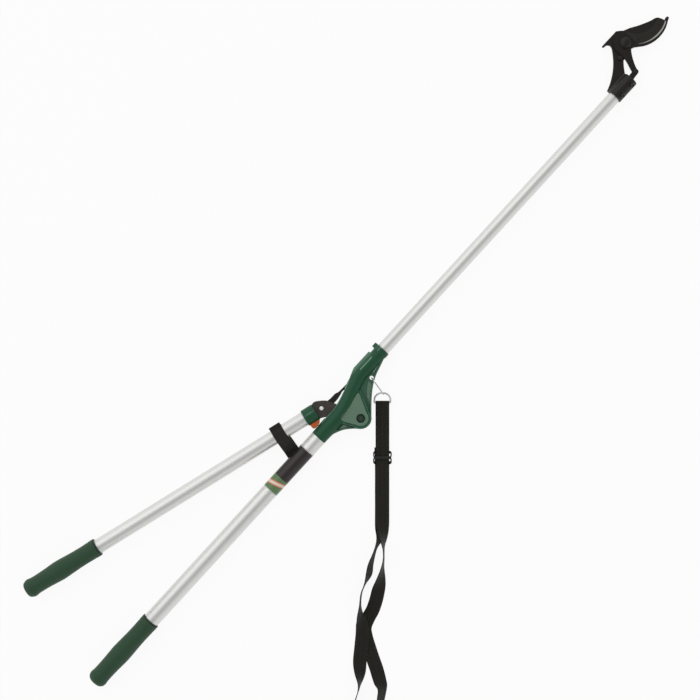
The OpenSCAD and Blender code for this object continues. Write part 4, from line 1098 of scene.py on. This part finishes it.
# Stations of the webbing, as in the part's source: across, along, lift of the lower edge and lean in degrees
LOW_Z = 3.4
HIGH_Z = 5.2
BAR_Z = 4.5
BAR_WRAP = 2.7
LEFT_RUN = [
    (-2, -76, LOW_Z, 0), (-1, -110, LOW_Z, 0), (-1, -150, LOW_Z, 0), (-1, -190, LOW_Z, 2), (-2, -212, 2.4, 22),
    (-5, -232, 1.2, 60), (-12, -250, 0.9, 78), (-20, -275, 0.8, 66), (-23, -292, 0.8, 62), (-30, -309, 0.8, 82),
    (-36, -325, 0.9, 84), (-38, -345, 2.4, 82), (-38, -362, 3.4, 62), (-36, -374, 3.4, 36), (-34, -390, 3.2, 10),
    (-36, -415, 2.8, 4), (-38.5, -440, 1.4, 6), (-38.5, -460, 1, 36), (-39, -478, 0.8, 74), (-41, -490, 0.7, 84),
    (-46, -506, 0.6, 88),
]
LOOP_FOOT = [
    (-51, -525, 0.6, 90), (-51, -548, 0.6, 90), (-42, -566, 0.6, 90), (-27, -573, 0.6, 90),
    (-11, -566, 0.6, 90), (-3, -548, 0.6, 90),
]
RIGHT_RUN = [
    (-2, -526, 0.6, 80), (-3, -508, 0.6, 56), (-0.5, -488, 0.7, 48), (-4.5, -474, 0.8, 20), (-10, -455, 0.8, 4),
    (-16, -438, 0.6, 0), (-22, -420, 0.5, 0), (-28, -400, 0.5, 0), (-30, -384, 0.5, 0), (-24, -368, 0.5, 0),
    (-16.5, -354, 0.5, 2), (-11, -338, 0.6, 6), (-7, -321, 0.7, 14), (-3.5, -304, 0.8, 42), (-0.5, -284, 0.8, 72),
    (2, -266, 0.9, 84), (2, -248, 1.4, 82), (1.5, -234, 2.6, 62), (0.5, -212, 4.2, 24), (0, -190, HIGH_Z, 3),
    (0, -150, HIGH_Z, 0), (0, -90, HIGH_Z, 0), (0, -40, HIGH_Z, 0), (0, -18, HIGH_Z + 0.2, 0),
    (0, -7, BAR_Z + BAR_WRAP - 1.1, 0),
]
SEWN_END = [(0, -8, BAR_Z - BAR_WRAP - 0.5, 0), (0, -18, 2.2, 0), (0, -38, LOW_Z, 0), (0, -60, LOW_Z, 0)]
# Half a band's section, as shares of its half width and half thickness
BAND_EDGE = [
    (-1, 0.0), (-0.985, 0.55), (-0.95, 0.85), (-0.88, 1.0), (-0.44, 1.0), (0, 1.0), (0.44, 1.0), (0.88, 1.0),
    (0.95, 0.85), (0.985, 0.55), (1, 0.0),
]


def band_path(width, thickness, steps=8):
    """Middle of the webbing and its lean, all along it, in the strap's frame."""

    def middles(run):
        out = []
        for x, y, lift, lean in run:
            out.append((x, y, lift + polar(thickness / 2, lean)[0] + polar(width / 2, lean)[1], lean))
        return out

    free = curve_through(middles(LEFT_RUN + LOOP_FOOT + RIGHT_RUN), steps)
    over_bar = [polar(BAR_WRAP, angle) for angle in range(70, -71, -14)]
    bar = [[0, along, BAR_Z + up, 0] for along, up in over_bar]
    return free + bar + curve_through(middles(SEWN_END), steps)


def directions(points):
    """The way a path runs at each of its points."""
    last = len(points) - 1
    return [(points[min(i + 1, last)] - points[max(i - 1, 0)]).normalized() for i in range(last + 1)]


def band_frames(path):
    """Point, across and outward directions at each point of the webbing."""
    points = [Vector(p[:3]) for p in path]
    out = []
    for p, along, (*_, lean) in zip(points, directions(points), path):
        flat = Vector((along.y, -along.x, 0))
        level = flat.normalized() if flat.length > 0.01 else Vector((1, 0, 0))
        if level.x < 0:
            level = -level
        flatwise, upright = polar(1.0, lean)
        across = (flatwise * level - upright * Vector((0, 0, 1))).normalized()
        across = (across - along * across.dot(along)).normalized()
        out.append((p, across, along.cross(across).normalized()))
    return out


def woven_band(frames, spans, thickness, place):
    """A band with rounded edges, from its two edges' places across at each frame, and its length.

    It carries its own unrolled coordinates in metres.
    """
    section = BAND_EDGE + [(u, -t) for u, t in reversed(BAND_EDGE[1:-1])]
    count = len(section)
    bm = bmesh.new()
    layer = bm.loops.layers.uv.new("band")
    made, unrolled, run = [], [], 0.0
    for i, (p, across, outward) in enumerate(frames):
        run += (p - frames[i - 1][0]).length if i else 0.0
        low, high = spans[i]
        for u, t in section:
            w = low + (high - low) * (u + 1) / 2
            made.append(bm.verts.new((place @ (p + across * w + outward * (thickness / 2) * t)) * MM))
            unrolled.append((w * MM, run * MM))
    for corners in hoops(len(frames), count):
        face = bm.faces.new([made[i] for i in corners])
        for loop, i in zip(face.loops, corners):
            loop[layer].uv = unrolled[i]
    bm.faces.new(made[:count])
    bm.faces.new(made[-count:])
    bmesh.ops.recalc_face_normals(bm, faces=bm.faces)
    return smooth(mesh_of(bm), 60.0), run


STITCH_BOX = [(-9, -24), (9, -24), (9, -54), (-9, -54), (-9, -24), (9, -54), (9, -24), (-9, -54)]
STEPS_A_LINE = 8
STITCH_LIFT, STITCH_SIZE = 0.03, (0.0013, 0.0003, 0.0002)
SLIDER_Y = -93.5
SLIDER_HALF_WIDTH, SLIDER_HALF_LENGTH = 15.95, 11.5
SLIDER_CORNER, SLIDER_WAIST = 4.5, 0.9
RING_WIRE_R, RING_ROOM, RING_SIDE, RING_TILT, RING_BEND = 1.5, 2.0, 6.0, 30.0, 1.6
LINK_WIRE_R, LINK_R, LINK_SLACK = 1.0, 11.0, 0.9


class PRUNER_OT_strap(bpy.types.Operator):
    """Lay the woven carrying strap with its sewn end, ring, link and slider"""

    bl_idname = "pruner.strap"
    bl_label = "Carrying strap"

    def execute(self, context):
        width, thickness = sizes().strap_width / MM, sizes().strap_thickness / MM
        frames = band_frames(band_path(width, thickness))
        mesh, length = woven_band(frames, [(-width / 2, width / 2)] * len(frames), thickness, STRAP_FRAME)
        strap = add_piece("carrying_strap", mesh, "webbing", "strap", "black_webbing", "webbing")
        seams = self.seams(HIGH_Z + thickness + STITCH_LIFT)
        rows = bead_row(seams, sizes().stitch_pitch, STITCH_SIZE, "thread")
        stitches = add_piece("strap_stitches", rows, "thread", "strap", "black_webbing")
        self.ring_and_link(width / 2 + RING_ROOM)
        slider = softened("strap_adjuster", 0.0003, 3, 0.6)
        self.rounded(slider)
        add_piece("strap_slider", slider, "black_plastic", "adjuster", "black_plastic", "strap_adjuster")
        return {"FINISHED"}

    def seams(self, height):
        """Lines of the sewn box and its cross, in metres."""
        lines = []
        for a, b in zip(STITCH_BOX, STITCH_BOX[1:]):
            shares = [i / STEPS_A_LINE for i in range(STEPS_A_LINE + 1)]
            line = [(a[0] + (b[0] - a[0]) * s, a[1] + (b[1] - a[1]) * s, height) for s in shares]
            lines.append([(STRAP_FRAME @ Vector(p)) * MM for p in line])
        return lines

    def rounded(self, slider):
        """Rounds the slider's corners and draws its side rails in at the middle bar."""
        to_strap = STRAP_FRAME.inverted()
        for vertex in slider.vertices:
            p = to_strap @ (vertex.co / MM)
            v = p.y - SLIDER_Y
            past = min(max(abs(v) - (SLIDER_HALF_LENGTH - SLIDER_CORNER), 0.0), SLIDER_CORNER)
            corner = SLIDER_CORNER - math.sqrt(SLIDER_CORNER * SLIDER_CORNER - past * past)
            drawn_in = corner + SLIDER_WAIST * near(v, 0.0, 2.4)
            p.x *= (SLIDER_HALF_WIDTH - drawn_in) / SLIDER_HALF_WIDTH
            vertex.co = (STRAP_FRAME @ p) * MM

    def ring_and_link(self, half):
        """The D-ring round the strap's end, and the oblong wire link from it to the fin's hole."""
        bow = [polar(half, angle) for angle in range(0, 181, 6)]
        bends = [polar(RING_BEND, angle) for angle in range(0, 91, 18)]
        corner = [(RING_BEND - half - across, RING_BEND - up, 0) for across, up in bends]
        path = [(x, RING_SIDE + y, 0) for x, y in bow] + corner + [(-x, y, z) for x, y, z in reversed(corner)]
        ring = wire(path, RING_WIRE_R, STRAP_FRAME @ move(0, 0, BAR_Z) @ spin(RING_TILT, "X"), 20)
        add_piece("d_ring_wire", ring, "plate", "strap", "bright_steel", "d_ring")
        along, up = polar(RING_SIDE + half, RING_TILT)
        way = STRAP_FRAME @ Vector((0, along, BAR_Z + up)) - STRAP_HOLE
        straight = way.length + RING_WIRE_R + LINK_WIRE_R + LINK_SLACK - 2 * LINK_R
        turns = [polar(LINK_R, angle) for angle in range(0, 181, 10)]
        oval = [(LINK_R - up, across, 0) for across, up in turns]
        oval += [(LINK_R + straight + up, -across, 0) for across, up in turns]
        heading = Matrix.Rotation(math.atan2(way.y, way.x), 4, "Z")
        pitch = Matrix.Rotation(math.atan2(-way.z, math.hypot(way.x, way.y)), 4, "Y")
        link = wire(oval, LINK_WIRE_R, move(*STRAP_HOLE) @ heading @ pitch @ spin(90, "X"), 16)
        add_piece("wire_link", link, "plate", "strap", "bright_steel", "strap_link")


KEEPER_X, KEEPER_WIDTH, KEEPER_FLAP, KEEPER_T = -131.5, 21.0, 4.0, 1.4
KEEPER_R = 13.3
FLAP_FROM = 38.5
SEAM_INSET, SEAM_LIFT, SEAM_STITCH = 1.3, 0.05, (0.0012, 0.0003, 0.0002)
SEWN_FRAMES = slice(34, 90)
# The band's tail and tab, across from the lever's axis and up from the ground
KEEPER_TAIL = [(37.3, 25.6), (24.0, 12.5), (16.5, 3.8), (11.5, 1.6), (4.0, 1.5), (-12.0, 1.5)]
KEEPER_TAB = [(58.6, 27.0), (61.2, 26.7), (63.8, 26.5), (67.3, 27.5)]


class PRUNER_OT_keeper(bpy.types.Operator):
    """Wrap the hook-and-loop keeper band round the lever tube, with its tail, tab and sewn edges"""

    bl_idname = "pruner.keeper"
    bl_label = "Keeper band"

    def execute(self, context):
        place = spin(-LEVER_SPLAY)
        turns = [polar(KEEPER_R, angle) for angle in range(148, 469, 5)]
        ring = [(LEVER_V + across, MID + up) for across, up in turns]
        path = ring[:-1] + curve_through([ring[-1], *KEEPER_TAIL], 8)
        frames = self.frames(path)
        half = KEEPER_WIDTH / 2
        flaps = [KEEPER_FLAP if v < FLAP_FROM and i > len(ring) else 0 for i, (v, _) in enumerate(path)]
        spans = [(-half, half + flap) for flap in flaps]
        mesh, length = woven_band(frames, spans, KEEPER_T, place)
        band = add_piece("keeper_band", mesh, "pile", "lever", "black_webbing", "keeper_strap")
        tab_frames = self.frames(curve_through(KEEPER_TAB, 5))
        mesh, _ = woven_band(tab_frames, [(-half, half)] * len(tab_frames), KEEPER_T, place)
        tab = add_piece("keeper_tab", mesh, "pile", "lever", "black_webbing")
        lines = []
        for side in (-half + SEAM_INSET, half - SEAM_INSET):
            lift = KEEPER_T / 2 + SEAM_LIFT
            seam = [p + across * side + out * lift for p, across, out in frames[SEWN_FRAMES]]
            lines.append([(place @ q) * MM for q in seam])
        rows = bead_row(lines, sizes().stitch_pitch, SEAM_STITCH, "thread")
        stitches = add_piece("keeper_stitches", rows, "thread", "lever", "black_webbing")
        return {"FINISHED"}

    def frames(self, path):
        """Frames of a band whose width lies along the lever, from its places across and up."""
        across = Vector((1, 0, 0))
        points = [Vector((KEEPER_X, v, z)) for v, z in path]
        return [(p, across, along.cross(across).normalized()) for p, along in zip(points, directions(points))]


INNER_LOOKS = {
    "plate": "pull_rod rod_yoke yoke_pin rod_end rod_end_pin arm_spacer arm_rivets arm_pin pivot_bush "
    "lever_pivot_washer fixed_tube_pins",
    "guide": "rod_guides",
}


class PRUNER_OT_inner_parts(bpy.types.Operator):
    """Give the inner rod, guides, bushes and pins their finishes"""

    bl_idname = "pruner.inner_parts"
    bl_label = "Inner parts"

    def execute(self, context):
        for look, nodes in INNER_LOOKS.items():
            for node in nodes.split():
                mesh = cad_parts[node].data
                mesh.materials.clear()
                mesh.materials.append(finish(look))
        return {"FINISHED"}


# Stage: the camera sees a square of that side, round that centre

PHOTO_SIDE = 1190.0
PHOTO_CENTRE = Vector((73.0, 91.6, MID))
LENS = 85.0
SENSOR = 36.0
FLOOR_HALF = 6
FLOOR_GLOW = 0.92
LAMP_SIZE, LAMP_WATTS = (4.4, 2.6), 15.0
LAMP_AT, LAMP_TILT = (0.1, 1.9, 2.3), -39.5


class PRUNER_OT_stage(bpy.types.Operator):
    """Set the pale floor, soft studio light and the camera straight above"""

    bl_idname = "pruner.stage"
    bl_label = "Stage"

    def execute(self, context):
        scene = context.scene
        scene.view_settings.view_transform = "Standard"
        self.floor()
        self.light(scene)
        data = bpy.data.cameras.new("camera")
        data.lens = LENS
        data.sensor_width = SENSOR
        data.sensor_fit = "HORIZONTAL"
        camera = linked("camera", data)
        camera.location = (PHOTO_CENTRE + Vector((0, 0, PHOTO_SIDE * LENS / SENSOR))) * MM
        camera.rotation_euler = (0, 0, math.radians(STRAP_TURN))
        scene.camera = camera
        return {"FINISHED"}

    def floor(self):
        """A floor that keeps the shadows, and that the camera and reflections see nearly white."""
        mesh = bpy.data.meshes.new("floor")
        corners = [(x * FLOOR_HALF, y * FLOOR_HALF, 0) for x, y in ((-1, -1), (1, -1), (1, 1), (-1, 1))]
        mesh.from_pydata(corners, [], [(0, 1, 2, 3)])
        f = Finish("studio floor", 0.9, more={"Base Color": (0.90, 0.90, 0.90, 1)})
        glow = f.node("ShaderNodeEmission", {"Strength": 1.0})
        rays = f.node("ShaderNodeLightPath").outputs
        mirrored = f.sums("MAXIMUM", rays["Is Glossy Ray"], rays["Is Transmission Ray"])
        share = f.product(f.sums("MAXIMUM", rays["Is Camera Ray"], mirrored), FLOOR_GLOW)
        mixed = f.node("ShaderNodeMixShader", {0: share, 1: f.shader.outputs[0], 2: glow.outputs[0]})
        f.feed(f.existing("OUTPUT_MATERIAL").inputs["Surface"], mixed.outputs[0])
        mesh.materials.append(f.material)
        floor = linked("floor", mesh)

    def light(self, scene):
        """A room that is dimmer overhead than at its sides, and one broad lamp on the lever's side."""
        scene.world = bpy.data.worlds.new("studio")
        scene.world.use_nodes = True
        room = Nodes(scene.world.node_tree)
        _, y, z = room.parts(room.node("ShaderNodeTexCoord").outputs["Generated"])
        tilt = room.sums("ABSOLUTE", room.total(room.sums("ARCTAN2", y, z), math.radians(14)))
        glow = room.between(tilt, 0.10, 0.95, 0.40, 0.95)
        seen = room.node("ShaderNodeLightPath").outputs["Is Camera Ray"]
        sky = room.existing("BACKGROUND")
        room.feed(sky.inputs["Strength"], room.sums("MAXIMUM", glow, seen))
        sky.inputs["Color"].default_value = (1.0, 1.0, 1.0, 1.0)
        lamp = bpy.data.lights.new("key", "AREA")
        lamp.shape = "RECTANGLE"
        lamp.size, lamp.size_y = LAMP_SIZE
        lamp.energy = LAMP_WATTS
        holder = linked("key", lamp)
        holder.location = LAMP_AT
        holder.rotation_euler = (math.radians(LAMP_TILT), 0, 0)


class PRUNER_PT_panel(bpy.types.Panel):
    """The steps that dress the pruner, in order"""

    bl_idname = "PRUNER_PT_panel"
    bl_label = "Tree pruner pole"
    bl_space_type = "VIEW_3D"
    bl_region_type = "UI"
    bl_category = "Pruner"

    def draw(self, context):
        for settings in (sizes(), colours()):
            box = self.layout.box()
            for key in settings.bl_rna.properties.keys():
                if key not in ("rna_type", "name"):
                    box.prop(settings, key)
        for operator in OPERATORS:
            self.layout.operator(operator.bl_idname)


OPERATORS = (
    PRUNER_OT_stage,
    PRUNER_OT_tubes,
    PRUNER_OT_grips,
    PRUNER_OT_label,
    PRUNER_OT_housing,
    PRUNER_OT_lever_iron,
    PRUNER_OT_head,
    PRUNER_OT_welds,
    PRUNER_OT_fasteners,
    PRUNER_OT_strap,
    PRUNER_OT_keeper,
    PRUNER_OT_inner_parts,
)
CLASSES = (PrunerColours, PrunerSizes, *OPERATORS, PRUNER_PT_panel)


def register():
    for item in CLASSES:
        bpy.utils.register_class(item)
    bpy.types.Scene.pruner_colours = bpy.props.PointerProperty(type=PrunerColours)
    bpy.types.Scene.pruner_sizes = bpy.props.PointerProperty(type=PrunerSizes)


def unregister():
    del bpy.types.Scene.pruner_sizes
    del bpy.types.Scene.pruner_colours
    for item in reversed(CLASSES):
        bpy.utils.unregister_class(item)


def main():
    register()
    for operator in OPERATORS:
        group, name = operator.bl_idname.split(".")
        getattr(getattr(bpy.ops, group), name)()


if __name__ == "__main__":
    main()
